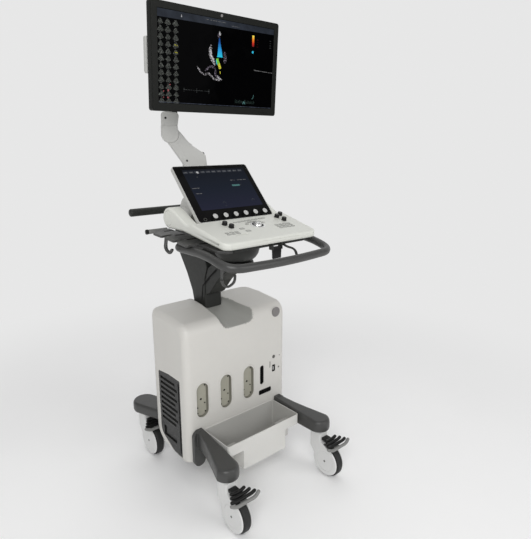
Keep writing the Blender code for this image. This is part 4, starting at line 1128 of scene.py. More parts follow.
def make_deck_controls():
    ball = deck_seat(*BALL_AT)
    cup = [
        (0.02, -0.028), (0.02, 0.0006), (0.0194, 0.0018), (0.0176, 0.0018), (0.01705, 0.0004),
        (0.01705, -0.0225), (0.004, -0.0225), (0.004, -0.028),
    ]
    piece("ball_ring", turned(cup, ball, 56), "black_plastic", "deck", ["trackball_cup"])
    ring = [(0.0262, 0.0001), (0.0262, 0.001), (0.0252, 0.0016), (0.0212, 0.0016), (0.0212, 0.0001)]
    piece("ball_bezel", turned(ring, ball, 56), "silver", "deck")
    sphere = bmesh.new()
    bmesh.ops.create_uvsphere(sphere, u_segments=40, v_segments=24, radius=0.0165)
    sphere.transform(Matrix.Translation(ball @ Vector((0, 0, -0.005))))
    piece("ball", sphere, "silver", "ball", ["trackball"])

    for name in ("left_rear", "left_front", "right_rear", "right_middle", "right_front"):
        spot = joint_place(f"knob_{name}_turn")
        seat = deck_seat(spot.x, spot.y)
        stem = [
            (0.0095, 0.0008), (0.0095, 0.003), (0.0088, 0.0036), (0.0086, 0.0108), (0.0078, 0.0122),
            (0.003, 0.0126),
        ]
        steps = []
        for k in range(18):
            a = 2 * pi * k / 18
            notch = circle((0.0093 * cos(a), 0.0093 * sin(a)), 0.0008, 8)
            steps.append(("cut", prism(notch, 0.004, 0.014, seat)))
        piece(
            f"dial_{name}", stacked(stem, seat, 54), "black_plastic", f"knob_{name}", [f"knob_{name}"],
            steps,
        )

    keys = []
    for k in range(7):
        a = radians(150 - 20 * k)
        keys.append((0.016 + 0.041 * cos(a), -0.09 + 0.034 * sin(a), 0.0055, 0.0034))
    for row in range(2):
        for k in range(3):
            keys.append((-0.137 + 0.019 * k, -0.118 - 0.012 * row, 0.0065, 0.0036))
    for row in range(3):
        for k in range(4):
            keys.append((0.084 + 0.0185 * k, -0.108 - 0.0125 * row, 0.0065, 0.0036))
    keys += [(-0.05 + 0.0165 * k, -0.048 + 0.001 * k, 0.0058, 0.003) for k in range(9)]
    keys += [(-0.062, -0.1, 0.0085, 0.005), (-0.052, -0.122, 0.0085, 0.005)]
    caps, wells = [], []
    for x, y, half_u, half_v in keys:
        seat = deck_seat(x, y)
        cap = rounded(rectangle((-half_u, -half_v), (half_u, half_v)), min(half_v * 0.8, 0.0028), 4)
        well = rounded(
            rectangle((-half_u - 0.0011, -half_v - 0.0011), (half_u + 0.0011, half_v + 0.0011)),
            min(half_v * 0.85, 0.003), 4,
        )
        rings = []
        for share, w in ((1.0, 0.0001), (1.0, 0.0011), (0.9, 0.0017), (0.8, 0.0019)):
            rings.append([seat @ Vector((u * share, v * share, w)) for u, v in cap])
        caps.append(loft(rings))
        wells.append(prism(well, 0.0001, 0.0003, seat))
    piece("deck_keys", merged(*caps), "key_grey", "deck")
    # a grey ring round each key, painted as the shade in the gap between key and deck
    piece("deck_key_gaps", merged(*wells), "print_and_gap_shade_grey", "deck")


def make_handle():
    half, arm_z, bar_z = 0.226, 0.913, 0.885
    left = [
        (-0.12, 0.055, 0.899), (-half, 0.055, arm_z - 0.002), (-half, -0.125, arm_z),
        (-half + 0.004, -0.243, bar_z),
    ]
    right = [(-x, y, z) for x, y, z in reversed(left)]
    path = bent(left + [(0, -0.262, bar_z - 0.002)] + right, [0.045, 0.05, 0.055, 0.1, 0.055, 0.05, 0.045], 9)
    loop = [
        (-0.222, -0.205, 0.886), (-0.224, -0.204, 0.834), (-0.2, -0.202, 0.82), (-0.172, -0.2, 0.832),
        (-0.17, -0.2, 0.852),
    ]
    loop = tube(bent(loop, [0.018, 0.014, 0.012]), 0.0052, 0.0036, 16)
    piece(
        "handle", tube(path, 0.0128, 0.0138, 32, dome=0.0), "dark_grey", "deck", ["front_handle"],
        [("join", loop)],
    )


def make_tray():
    outer, inner, root, rise = -0.252, -0.168, -0.212, 0.06
    top = axes_at((0, -0.19, 0.9275), (1, 0, 0), (0, 1, rise))
    corners = [(inner, 0.375), (-0.215, 0.375), (outer, 0.34)]
    radii = [0.004, 0.012, 0.012]
    for v in (0.285, 0.208, 0.13):
        corners += [(outer, v), (root, v + 0.004), (root, v - 0.01), (outer + 0.004, v - 0.014)]
        radii += [0.006, 0.003, 0.003, 0.006]
    corners = corners[:-1] + [(root, 0.025), (-0.186, 0.001), (inner, 0.001)]
    radii = radii[:-1] + [0.01, 0.008, 0.003]
    hook = [(-0.244, 0.075, 0.94), (-0.252, 0.07, 0.905), (-0.253, 0.04, 0.893), (-0.253, 0.026, 0.908)]
    steps = [("join", tube(bent(hook, [0.014, 0.01]), 0.0062, 0.0045, 16)), ("round", 0.0012)]
    piece(
        "side_tray", prism(rounded(corners, radii, 5), -0.008, 0.0, top), "dark_grey", "deck",
        ["cable_tray"], steps,
    )

    rail = [Vector((x, 0.195, 0.944)) for x in (-0.172, -0.2, -0.246)]
    piece("side_rail", tube(rail, 0.006, 0.008, 24, dome=0.3), "rail_grey", "deck", ["cable_rail"])
    tip = [Vector((-0.2465, 0.195, 0.944)), Vector((-0.2535, 0.195, 0.944))]
    piece("side_rail_tip", tube(tip, 0.0068, 0.0088, 24, dome=0.3), "black_plastic", "deck")
    ribs = []
    for k in range(4):
        y = 0.15 - 0.072 * k
        rib = rectangle((-0.208, y + 0.186), (-0.172, y + 0.1925))
        ribs.append(prism(rib, -0.0002, 0.0008, top))
    piece("side_tray_ribs", merged(*ribs), "recess_black", "deck")


# Touch panel
def make_touch_panel():
    half_w, height = TOUCH_SIZE
    outside = rounded(rectangle((-half_w, 0), (half_w, height)), 0.01)
    rim = 0.0022
    window = rounded(rectangle((-half_w + rim, rim), (half_w - rim, height - rim)), 0.008)
    neck = [(0.046, 1.024), (0.104, 1.086), (0.146, 1.012), (0.115, 0.99), (0.084, 0.988)]
    hub = (BARREL.y, BARREL.z)
    steps = [
        ("round", 0.0018),
        ("cut", prism(window, -0.0036, 0.01, TOUCH)),
        ("join", prism(rounded(neck, [0.02, 0.03, 0.02, 0, 0.01], 6), -0.15, 0.15, SIDE)),
        ("join", prism(circle(hub, 0.035, 64), -half_w, half_w, SIDE)),
        ("join", prism(circle(hub, 0.0098, 24), -0.185, 0.185, SIDE)),
        ("round", 0.0012),
    ]
    piece(
        "touch_frame", prism(outside, -0.015, 0, TOUCH), "arm_grey", "touch_panel", ["touch_housing"],
        steps,
    )
    edge = rim + 0.0004
    glass = rounded(rectangle((-half_w + edge, edge), (half_w - edge, height - edge)), 0.0076)
    piece(
        "touch_cover", prism(glass, -0.0032, 0.0, TOUCH), "touch_glass", "touch_panel", ["touch_glass"],
        [("round", 0.0004)],
    )

    for k in range(6):
        spot = joint_place(f"encoder_{k + 1}_turn")
        seat = axes_at(spot, (1, 0, 0), TOUCH_UP)
        base = [(0.0098, 0.0006), (0.0098, 0.0022), (0.0094, 0.0028), (0.0092, 0.01), (0.0088, 0.0104)]
        steps = []
        for n in range(20):
            a = 2 * pi * n / 20
            notch = circle((0.0096 * cos(a), 0.0096 * sin(a)), 0.0007, 8)
            steps.append(("cut", prism(notch, 0.0032, 0.012, seat)))
        piece(
            f"encoder_grip_{k + 1}", stacked(base, seat, 60), "black_plastic", f"encoder_{k + 1}",
            [f"encoder_{k + 1}"], steps,
        )
        cap = [(0.0092, 0.0105), (0.0094, 0.0112), (0.0092, 0.0119), (0.0084, 0.0122), (0.003, 0.0123)]
        piece(f"encoder_cap_{k + 1}", stacked(cap, seat, 48), "cap_silver", f"encoder_{k + 1}")

    button = TOUCH @ Matrix.Translation((-0.134, 0.012, 0))
    ring = [(0.0062, 0.0001), (0.0062, 0.0008), (0.005, 0.0008), (0.005, 0.0001)]
    piece("power_ring", turned(ring, button, 32), "print_and_gap_shade_grey", "touch_panel")


# Monitor arm
def make_arm():
    at = (POST.x, POST.y)
    u, z = (ARM_HINGE - POST).dot(HEADING), ARM_HINGE.z
    foot = [(0.0388, 1.08), (0.04, 1.0812), (0.04, 1.0935), (0.038, 1.096)]
    tongue = [(u - 0.02, 1.093)] + arc((u, z), 0.022, 180, 0, 24) + [(u + 0.022, 1.093)]
    steps = [
        ("join", prism(tongue, -0.012, 0.012, ARM)),
        ("join", cylinder((u, z), 0.006, -0.027, 0.027, ARM)),
        ("cut", cylinder(at, 0.0125, 1.07, 1.0905)),
    ]
    piece("arm_foot", stacked(foot, PLAN, 56, at), "arm_grey", "arm_turret", ["arm_swivel"], steps)

    k_u, k_z = (KNUCKLE_HINGE - POST).dot(HEADING), KNUCKLE_HINGE.z
    lower_end = arc((u, z), 0.0455, 20, -185, 40)
    outline = lower_end + [
        (-0.043, 1.199), (-0.027, 1.217), (-0.001, 1.233), (0.019, 1.248), (0.056, 1.293), (0.107, 1.264),
    ]
    steps = [
        ("round", 0.005),
        ("cut", cylinder((k_u, k_z), 0.0322, -0.04, 0.04, ARM, 96)),
        ("cut", cylinder((u, z), 0.052, -0.0126, 0.0126, ARM, 64)),
        ("cut", cylinder((u, z), 0.0066, -0.0275, 0.0275, ARM)),
        ("join", prism(capsule((0.05, 1.225), (k_u, k_z), 0.021, 24), -0.0185, 0.0185, ARM)),
        ("cut", cylinder((k_u, k_z), 0.0056, -0.03, 0.03, ARM, 24)),
    ]
    gap = [(-0.03, 1.2115), (-0.0315, 1.2145), (0.005, 1.2385), (0.0065, 1.2355)]
    steps.append(("cut", prism(gap, -0.04, 0.04, ARM)))
    for side in (-1, 1):
        low, high = beside(side, 0.0292, 0.04)
        channel = rounded([(0.012, 1.158), (0.03, 1.163), (0.088, 1.258), (0.072, 1.272)], 0.006, 4)
        steps.append(("cut", prism(channel, low, high, ARM)))
    steps.append(("round", 0.0004))
    piece("arm_cover", prism(outline, -0.03, 0.03, ARM), "arm_grey", "arm", ["arm_link"], steps)
    marks = [cylinder((0.027, 1.181), 0.0038, side * 0.0288, side * 0.0296, ARM, 24) for side in (-1, 1)]
    piece("arm_screws", merged(*marks), "recess_black", "arm")
    clip = rounded([(-0.04, 1.2055), (-0.0335, 1.2005), (-0.0285, 1.2065), (-0.035, 1.2125)], 0.001, 3)
    piece("arm_clip", prism(clip, -0.02, 0.02, ARM), "black_plastic", "arm")

    outline = [(k_u + 0.0315, k_z - 0.006), (k_u + 0.0265, k_z - 0.019)]
    outline += arc((k_u, k_z), 0.032, -48, -180, 48)
    top = YOKE.z - 0.0003
    outline += [(k_u - 0.03, k_z + 0.013), (k_u - 0.027, top + 0.012), (k_u + 0.031, top + 0.012)]
    slot = [(k_u - 0.06, k_z - 0.06), (k_u + 0.0225, k_z - 0.06)] + arc((k_u, k_z), 0.0225, 0, 125, 18)
    slot.append((k_u - 0.06, k_z + 0.02))
    steps = [
        ("round", 0.0022),
        ("cut", prism(rectangle((k_u - 0.06, top), (k_u + 0.06, top + 0.04)), -0.05, 0.05, ARM)),
        ("cut", prism(slot, -0.0192, 0.0192, ARM)),
        ("join", cylinder((k_u, k_z), 0.005, -0.0265, 0.0265, ARM, 24)),
        ("join", cylinder((YOKE.x, YOKE.y), 0.01, YOKE.z - 0.0044, YOKE.z + 0.0236, PLAN, 32)),
        ("round", 0.0004),
    ]
    piece("knuckle", prism(outline, -0.03, 0.03, ARM), "arm_grey", "knuckle", ["arm_knuckle"], steps)


def make_yoke():
    u, foot = (YOKE - POST).dot(HEADING), YOKE.z
    outline = [(u - 0.027, foot - 0.012), (u + 0.03, foot - 0.012), (u + 0.029, 1.356), (u - 0.036, 1.352)]
    at = (YOKE.x, YOKE.y)
    corners = [(*at, 1.335), (*at, 1.435), (0, 0.235, TILT.z), TILT]
    hub = (TILT.y, TILT.z)
    steps = [
        ("round", 0.0045),
        ("cut", prism(rectangle((u - 0.06, foot - 0.04), (u + 0.06, foot)), -0.05, 0.05, ARM)),
        ("join", tube(bent(corners, [0.045, 0.04], 9), 0.018, 0.012, 28, up=(0.6, 0.3, 1), dome=0.0)),
        ("join", prism(circle(hub, 0.0145, 40), -0.026, 0.026, SIDE)),
        ("cut", prism(circle(hub, 0.0056, 24), -0.04, 0.04, SIDE)),
        ("cut", cylinder(at, 0.0106, 1.3, foot + 0.0251)),
        ("round", 0.0005),
    ]
    piece(
        "yoke", prism(rounded(outline, [0.002, 0.002, 0.01, 0.012], 6), -0.029, 0.029, ARM), "arm_grey",
        "yoke", ["monitor_yoke"], steps,
    )
    bolts = [cylinder((u + 0.014, 1.333), 0.004, side * 0.0286, side * 0.0296, ARM, 20) for side in (-1, 1)]
    cover = [(u - 0.03, 1.35), (u - 0.01, 1.3505), (u - 0.012, 1.357), (u - 0.03, 1.356)]
    piece("yoke_bolts", merged(*bolts, prism(cover, -0.018, 0.018, ARM)), "black_plastic", "yoke")


# Monitor
MONITOR_HALF = (0.2575, 0.159)
MONITOR_GLASS = -0.0015
TOUCH_GLASS = 0.0


def monitor_ring(left, right, low, high, radius, w):
    outline = rounded(rectangle((left, low), (right, high)), radius, 6)
    return [MONITOR @ Vector((u, v, w)) for u, v in outline]


# Inset and depth of the rings of a side grip on the monitor's back
GRIP = ((0.004, -0.0505), (0.001, -0.049), (0.0, -0.0465), (0.0, -0.0345), (0.001, -0.033), (0.003, -0.0325))


def make_monitor():
    half_w, half_h = MONITOR_HALF
    sections = [
        (0.0045, 0.005, -0.03), (0.0012, 0.0075, -0.0285), (0.0, 0.008, -0.026), (0.0, 0.008, -0.0028),
        (0.0008, 0.0075, -0.001), (0.0025, 0.006, 0.0),
    ]
    rings = []
    for inset, radius, w in sections:
        rings.append(monitor_ring(inset - half_w, half_w - inset, inset - half_h, half_h - inset, radius, w))
    side, top, bottom = 0.021, 0.021, 0.025
    window = rectangle((-half_w + side, -half_h + bottom), (half_w - side, half_h - top))
    steps = [("cut", prism(window, -0.006, 0.01, MONITOR))]
    for k in range(3):
        key = rounded(
            rectangle((0.176 + 0.016 * k, -half_h + 0.0085), (0.186 + 0.016 * k, -half_h + 0.0095)),
            0.0004, 2,
        )
        steps.append(("cut", prism(key, -0.0006, 0.01, MONITOR)))
    steps.append(("round", 0.0008))
    piece("bezel", loft(rings), "bezel_black", "monitor", ["monitor_bezel"], steps)
    edge = 0.0004
    glass = rectangle(
        (-half_w + side + edge, -half_h + bottom + edge), (half_w - side - edge, half_h - top - edge),
    )
    piece(
        "display", prism(glass, -0.0055, MONITOR_GLASS, MONITOR), "screen_glass", "monitor",
        ["monitor_screen"],
    )
    badge = MONITOR @ Matrix.Translation((0.003, 0.1485, 0))
    disc = [(0.0046, -0.0003), (0.0046, 0.0004), (0.004, 0.0008)]
    piece("bezel_medallion", stacked(disc, badge, 32), "medallion", "monitor")

    shell = [
        (0.248, -0.125, 0.135, 0.012, -0.0306), (0.248, -0.125, 0.135, 0.012, -0.0395),
        (0.2455, -0.1225, 0.1325, 0.012, -0.0425), (0.232, -0.109, 0.119, 0.014, -0.056),
        (0.225, -0.104, 0.114, 0.014, -0.0575), (0.096, -0.076, 0.066, 0.014, -0.0632),
        (0.09, -0.07, 0.06, 0.012, -0.064),
    ]
    tilt_depth = (MONITOR.inverted() @ TILT).z
    v = (MONITOR.inverted() @ TILT).y
    ear = rounded(rectangle((v - 0.012, tilt_depth - 0.011), (v + 0.012, -0.058)), [0.01, 0, 0, 0.01], 6)
    along = axes_at(MONITOR.translation, MONITOR.col[1].xyz, MONITOR.col[2].xyz)
    steps = [("round", 0.0012)]
    for low, high in ((-0.036, -0.0268), (0.0268, 0.036)):
        steps.append(("join", prism(ear, low, high, along)))
    steps.append(("join", prism(circle((v, tilt_depth), 0.005, 24), -0.03, 0.03, along)))
    for side in (-1, 1):
        low, high = beside(side, 0.236, 0.2595)
        grip = [monitor_ring(low + d, high - d, -0.048 + d, 0.06 - d, 0.006, w) for d, w in GRIP]
        steps.append(("join", loft(grip)))
    for row in range(4):
        for side in (-1, 1):
            u = side * 0.155
            z = 0.084 - row * 0.009
            slot = rounded(rectangle((u - 0.045, z), (u + 0.045, z + 0.0035)), 0.0015, 3)
            steps.append(("cut", prism(slot, -0.07, -0.0555, MONITOR)))
    port_bay = rounded(rectangle((-0.19, -0.094), (-0.11, -0.07)), 0.004, 4)
    steps.append(("cut", prism(port_bay, -0.07, -0.054, MONITOR)))
    steps.append(("round", 0.0006))
    piece(
        "monitor_shell", loft([monitor_ring(-ring[0], *ring) for ring in shell]), "arm_grey", "monitor",
        ["monitor_back"], steps,
    )
    screws = []
    for u in (-0.038, 0.038):
        for z in (-0.05, 0.04):
            screws.append(cylinder((u, z), 0.004, -0.0648, -0.0634, MONITOR, 20))
    piece("mount_screws", merged(*screws), "steel", "monitor")


# Pictures on the two displays
def flat_shape(axes, outline, glass, layer):
    """A thin slab just in front of a display's glass; a higher layer lies over a lower one."""
    base = glass + 0.00012 * layer
    return prism(outline, base, base + 0.0001, axes)


def ribbon(points, widths):
    """An outline that follows a line of (u, v) points with a half width at each."""
    left, right = [], []
    for i, (u, v) in enumerate(points):
        before, after = points[max(i - 1, 0)], points[min(i + 1, len(points) - 1)]
        along = Vector((after[0] - before[0], after[1] - before[1])).normalized()
        left.append((u - along.y * widths[i], v + along.x * widths[i]))
        right.append((u + along.y * widths[i], v - along.x * widths[i]))
    return right + left[::-1]


def curve(points, count=14):
    """A smooth line through (u, v) points."""
    ends = [points[0]] + list(points) + [points[-1]]
    line = []
    for p0, p1, p2, p3 in zip(ends, ends[1:], ends[2:], ends[3:]):
        for k in range(count):
            t = k / count
            line.append(tuple(
                0.5 * (
                    2 * b + (c - a) * t + (
                        2 * a - 5 * b + 4 * c - d
                    ) * t**2 + (3 * b - 3 * c + d - a) * t**3
                )
                for a, b, c, d in zip(p0, p1, p2, p3)
            ))
    return line + [points[-1]]


def tissue(points, widest, start=0.25, end=0.25, ragged=0.22, seed=0.0):
    """A band of echoes along a line, uneven at its edges and thinner at its ends."""
    line = curve(points)
    widths = []
    for i, (u, v) in enumerate(line):
        share = i / (len(line) - 1)
        taper = min(1.0, start + share * 3.5, end + (1 - share) * 3.5)
        uneven = 1 + ragged * noise(Vector((u * 300 + seed, v * 300, seed)))
        widths.append(widest * taper * uneven)
    return ribbon(line, widths)


# Colour, strength, speck size, share left dark, softness, and clear between the specks
LIT_LOOKS = {
    "lit_bar": (srgb(52, 58, 68), 1.0, 26.0, 0.0, 0.9, False),
    "lit_tab": (srgb(78, 82, 90), 1.0, 60.0, 0.0, 0.9, False),
    "lit_edge": (srgb(96, 104, 122), 0.8, 120.0, 0.2, 0.6, False),
    "lit_white": ((0.8, 0.8, 0.82), 0.9, 330.0, 0.33, 0.3, True),
    "lit_tissue": ((0.7, 0.67, 0.7), 0.8, 260.0, 0.42, 0.26, True),
    "lit_haze": ((0.42, 0.36, 0.46), 0.6, 380.0, 0.46, 0.22, True),
    "lit_grey": ((0.42, 0.42, 0.42), 0.55, 520.0, 0.36, 0.3, True),
    "lit_dim": ((0.16, 0.17, 0.17), 0.7, 520.0, 0.36, 0.3, True),
    "lit_thumb": ((0.3, 0.32, 0.29), 0.62, 900.0, 0.46, 0.22, True),
    "lit_yellow": (srgb(196, 190, 40), 0.75, 420.0, 0.4, 0.2, True),
    "lit_red": (srgb(205, 108, 112), 0.8, 300.0, 0.36, 0.25, True),
    "lit_crimson": (srgb(120, 28, 34), 0.6, 420.0, 0.42, 0.2, True),
    "lit_green": (srgb(130, 215, 70), 0.85, 300.0, 0.22, 0.3, False),
    "lit_lime": (srgb(215, 210, 60), 0.85, 300.0, 0.22, 0.3, False),
    "lit_cyan": (srgb(50, 190, 225), 0.9, 260.0, 0.18, 0.3, False),
    "lit_teal": (srgb(92, 140, 138), 0.8, 300.0, 0.2, 0.4, True),
    "lit_wave": (srgb(70, 92, 84), 0.6, 620.0, 0.46, 0.2, True),
}


def screen_looks():
    for name, settings in LIT_LOOKS.items():
        LOOKS[name] = lit_mark(name, *settings)
    field = [(0.0, srgb(30, 32, 48)), (0.5, srgb(21, 27, 38)), (1.0, srgb(16, 20, 27))]
    LOOKS["touch_field"] = blended_mark("touch_field", field, TOUCH, 0.05, 0.222)
    jet = [
        (0.0, srgb(40, 205, 230)), (0.35, srgb(40, 160, 225)), (0.75, srgb(24, 84, 160)),
        (1.0, srgb(22, 52, 104)),
    ]
    LOOKS["lit_jet"] = blended_mark("lit_jet", jet, MONITOR, 0.02, 0.082, 0.9)
    warm = [
        (0.0, srgb(110, 20, 24)), (0.3, srgb(205, 44, 30)), (0.6, srgb(240, 130, 30)),
        (1.0, srgb(250, 236, 90)),
    ]
    LOOKS["lit_scale"] = blended_mark("lit_scale", warm, MONITOR, 0.07, 0.107, 0.95)


def fan_sector(u, v, size):
    """A small echo picture: a sector that opens downwards, cut by an arc."""
    top = v + size * 0.5
    return [(u - size * 0.16, top), (u + size * 0.16, top)] + arc((u, top), size, -48, -132, 8)


def painter(axes, glass, usual_layer):
    """A dict of shapes by look, and the function that adds a shape to it."""
    marks = {}

    def mark(look, outline, layer=usual_layer):
        marks.setdefault(look, []).append(flat_shape(axes, outline, glass, layer))

    return marks, mark


def show(marks, prefix, body):
    for look, shapes in marks.items():
        piece(f"{prefix}_{look}", merged(*shapes), look, body)


def make_monitor_picture():
    marks, mark = painter(MONITOR, MONITOR_GLASS, 1)
    mark("lit_bar", [(-0.2355, 0.114), (0.2355, 0.119), (0.2355, 0.1368), (-0.2355, 0.1368)])
    mark("lit_edge", rectangle((-0.2355, -0.1322), (0.2355, -0.1308)))
    mark("lit_white", [(-0.152, 0.1215), (-0.1475, 0.1235), (-0.1505, 0.131)], 2)
    for u, width in ((-0.06, 0.012), (-0.044, 0.009), (-0.031, 0.016), (-0.011, 0.01), (0.003, 0.018)):
        mark("lit_grey", rectangle((u, 0.1287), (u + width, 0.1303)), 2)
    for u, width in ((0.046, 0.01), (0.059, 0.006), (0.068, 0.009)):
        mark("lit_grey", rectangle((u, 0.1228), (u + width, 0.1243)), 2)

    lit_rows = {(2, 3): "lit_yellow", (2, 4): "lit_yellow"}
    for column, u in enumerate((-0.2254, -0.1996, -0.172)):
        for row in range(12):
            v = 0.102 - row * 0.0208
            look = lit_rows.get((column, row), "lit_thumb")
            size = 0.017 if (column + row) % 3 else 0.015
            if look == "lit_yellow":
                mark(look, ribbon([(u - 0.005, v + 0.001), (u + 0.006, v - 0.001)], [0.0014, 0.0018]), 2)
                look = "lit_thumb"
            mark(look, fan_sector(u, v, size))
            mark("lit_grey", rectangle((u - 0.0062, v - 0.01), (u + 0.001, v - 0.0094)), 2)
    for u, v, size in (
        (-0.195, -0.078, 0.0022), (-0.202, -0.095, 0.0034), (-0.202, -0.117, 0.0032),
        (-0.219, -0.098, 0.0022), (-0.219, -0.117, 0.0018),
    ):
        mark("lit_red", circle((u, v), size, 12), 3)

    walls = [
        (
            "lit_tissue",
            [(-0.037, 0.056), (-0.04, 0.04), (-0.04, 0.026), (-0.03, 0.009), (-0.021, -0.005)], 0.0066,
        ),
        ("lit_white", [(-0.0385, 0.044), (-0.0395, 0.029), (-0.032, 0.015), (-0.025, 0.004)], 0.004),
        (
            "lit_tissue",
            [(-0.093, -0.014), (-0.086, -0.023), (-0.076, -0.032), (-0.064, -0.037), (-0.052, -0.036)],
            0.0026,
        ),
        (
            "lit_tissue",
            [
                (-0.06, -0.034), (-0.047, -0.033), (-0.036, -0.04), (-0.022, -0.049), (-0.004, -0.05),
                (0.009, -0.048),
            ],
            0.003,
        ),
        (
            "lit_haze",
            [(-0.062, -0.026), (-0.05, -0.017), (-0.039, -0.011), (-0.026, -0.012), (-0.017, -0.02)],
            0.0036,
        ),
        ("lit_haze", [(-0.017, -0.02), (-0.02, -0.03), (-0.013, -0.04), (0.001, -0.044)], 0.0046),
        ("lit_white", [(-0.013, -0.036), (-0.006, -0.044), (0.005, -0.047)], 0.0026),
        ("lit_haze", [(0.0165, 0.04), (0.019, 0.027), (0.02, 0.014), (0.016, 0.004)], 0.0058),
        ("lit_white", [(-0.004, 0.101), (-0.0025, 0.095), (-0.003, 0.087)], 0.003),
        ("lit_haze", [(-0.006, 0.095), (-0.007, 0.086), (-0.006, 0.08)], 0.005),
    ]
    for seed, (look, points, widest) in enumerate(walls):
        mark(look, tissue(points, widest, seed=seed * 3.7), 1 + seed % 3)
    line = curve([(-0.0045, 0.0815), (-0.004, 0.06), (-0.0025, 0.04), (-0.002, 0.0215)])
    widths = []
    for i in range(len(line)):
        ragged = 0.0012 * noise(Vector((i * 0.31, 2.0, 0)))
        widths.append(0.0016 + 0.0098 * i / (len(line) - 1) + ragged)
    mark("lit_jet", ribbon(line, widths), 4)
    mark(
        "lit_green",
        tissue([(-0.013, 0.017), (-0.0105, 0.008), (-0.007, 0.0)], 0.0052, 0.7, 0.7, 0.15, 5.0), 5,
    )
    mark(
        "lit_cyan",
        tissue([(-0.016, 0.013), (-0.015, 0.004), (-0.012, -0.002)], 0.0022, 0.6, 0.6, 0.2, 6.0), 4,
    )
    mark(
        "lit_lime",
        tissue([(-0.0085, 0.001), (-0.0035, -0.006), (-0.001, -0.015)], 0.005, 0.6, 0.6, 0.15, 9.0), 6,
    )
    mark("lit_lime", tissue([(-0.001, -0.022), (0.0005, -0.03)], 0.0014, 0.6, 0.4, 0.15, 9.5), 6)

    mark("lit_scale", rounded(rectangle((0.1362, 0.07), (0.1452, 0.106)), 0.0015, 4))
    mark("lit_cyan", circle((0.14, 0.052), 0.0042, 18))
    for k in range(4):
        mark("lit_crimson", rectangle((0.1575, 0.093 - 0.0075 * k), (0.164, 0.0945 - 0.0075 * k)))
        mark("lit_dim", rectangle((0.217, 0.096 - 0.0075 * k), (0.224, 0.0974 - 0.0075 * k)))
    mark(
        "lit_grey",
        ribbon([(0.148, -0.0052), (0.156, -0.0068), (0.2355, -0.0092)], [0.0022, 0.0012, 0.0008]),
    )
    mark("lit_dim", rectangle((-0.143, -0.0896), (-0.045, -0.0888)))
    for u in (-0.143, -0.094, -0.045):
        mark("lit_dim", rectangle((u - 0.0006, -0.096), (u + 0.0006, -0.083)))
    for k in range(26):
        u = 0.066 + 0.0034 * k
        height = 0.005 + 0.008 * abs(noise(Vector((k * 0.43, 1.7, 0.0))))
        mark("lit_wave", rectangle((u, -0.121), (u + 0.0026, -0.121 + height * 1.4)))
    mark("lit_teal", ribbon([(0.142, -0.104), (0.148, -0.099), (0.1495, -0.09)], [0.0008, 0.001, 0.0007]))
    mark(
        "lit_teal",
        tissue([(0.101, -0.123), (0.106, -0.115), (0.111, -0.123)], 0.0016, 0.6, 0.6, 0.2, 3.0), 2,
    )
    for k in range(9):
        mark("lit_dim", rectangle((-0.226 + 0.0066 * k, -0.13), (-0.2225 + 0.0066 * k, -0.1284)), 2)

    show(marks, "picture", "monitor")


def make_touch_picture():
    marks, mark = painter(TOUCH, TOUCH_GLASS, 2)
    mark("touch_field", rounded(rectangle((-0.13, 0.048), (0.14, 0.224)), 0.003, 4), 1)
    for k in range(11):
        u = -0.12 + 0.0238 * k
        mark("lit_tab", rounded(rectangle((u - 0.0095, 0.2068), (u + 0.0095, 0.216)), 0.0015, 3))
        mark("lit_grey", rectangle((u - 0.006, 0.2103), (u + 0.006, 0.2127)), 3)
    mark("lit_white", rounded(rectangle((-0.0752, 0.2055), (-0.0664, 0.214)), 0.001, 3), 4)
    mark("lit_grey", circle((-0.081, 0.19), 0.0018, 12))
    for u, width in ((0.0515, 0.012), (0.066, 0.005), (0.084, 0.01), (0.096, 0.012), (0.111, 0.013)):
        mark("lit_grey", rectangle((u, 0.1665), (u + width, 0.1695)))
    mark("lit_teal", rounded(rectangle((0.048, 0.1405), (0.083, 0.148)), 0.001, 3))
    mark("lit_dim", rectangle((0.085, 0.1425), (0.09, 0.1465)))
    for u, v, width in ((-0.124, 0.142, 0.03), (-0.12, 0.119, 0.011), (-0.106, 0.119, 0.012)):
        mark("lit_grey", rectangle((u, v - 0.0014), (u + width, v + 0.0014)))
    for u, v in ((-0.024, 0.07), (0.108, 0.072)):
        ring = arc((u, v), 0.0068, 0, 180, 12) + arc((u, v), 0.0058, 180, 0, 12)
        mark("lit_dim", ring)
    mark("lit_dim", rectangle((-0.0256, 0.0575), (-0.0224, 0.06)))
    show(marks, "touch", "touch_panel")


def dress_inside():
    """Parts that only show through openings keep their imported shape."""
    inside = {
        "electronics_rack": "circuit_box", "power_supply": "circuit_box", "fan_rotor": "black_plastic",
        "column_sleeve": "steel",
    }
    for node, look in inside.items():
        made = frame["nodes"][node]
        made.data.materials.clear()
        made.data.materials.append(LOOKS[look])
        edges = made.modifiers.new("soft_edges", "BEVEL")
        edges.width = 0.0008
        edges.segments = 2
        edges.limit_method = "ANGLE"


# Studio
BACKDROP = 0.8  # the light the backdrop gives, evenly


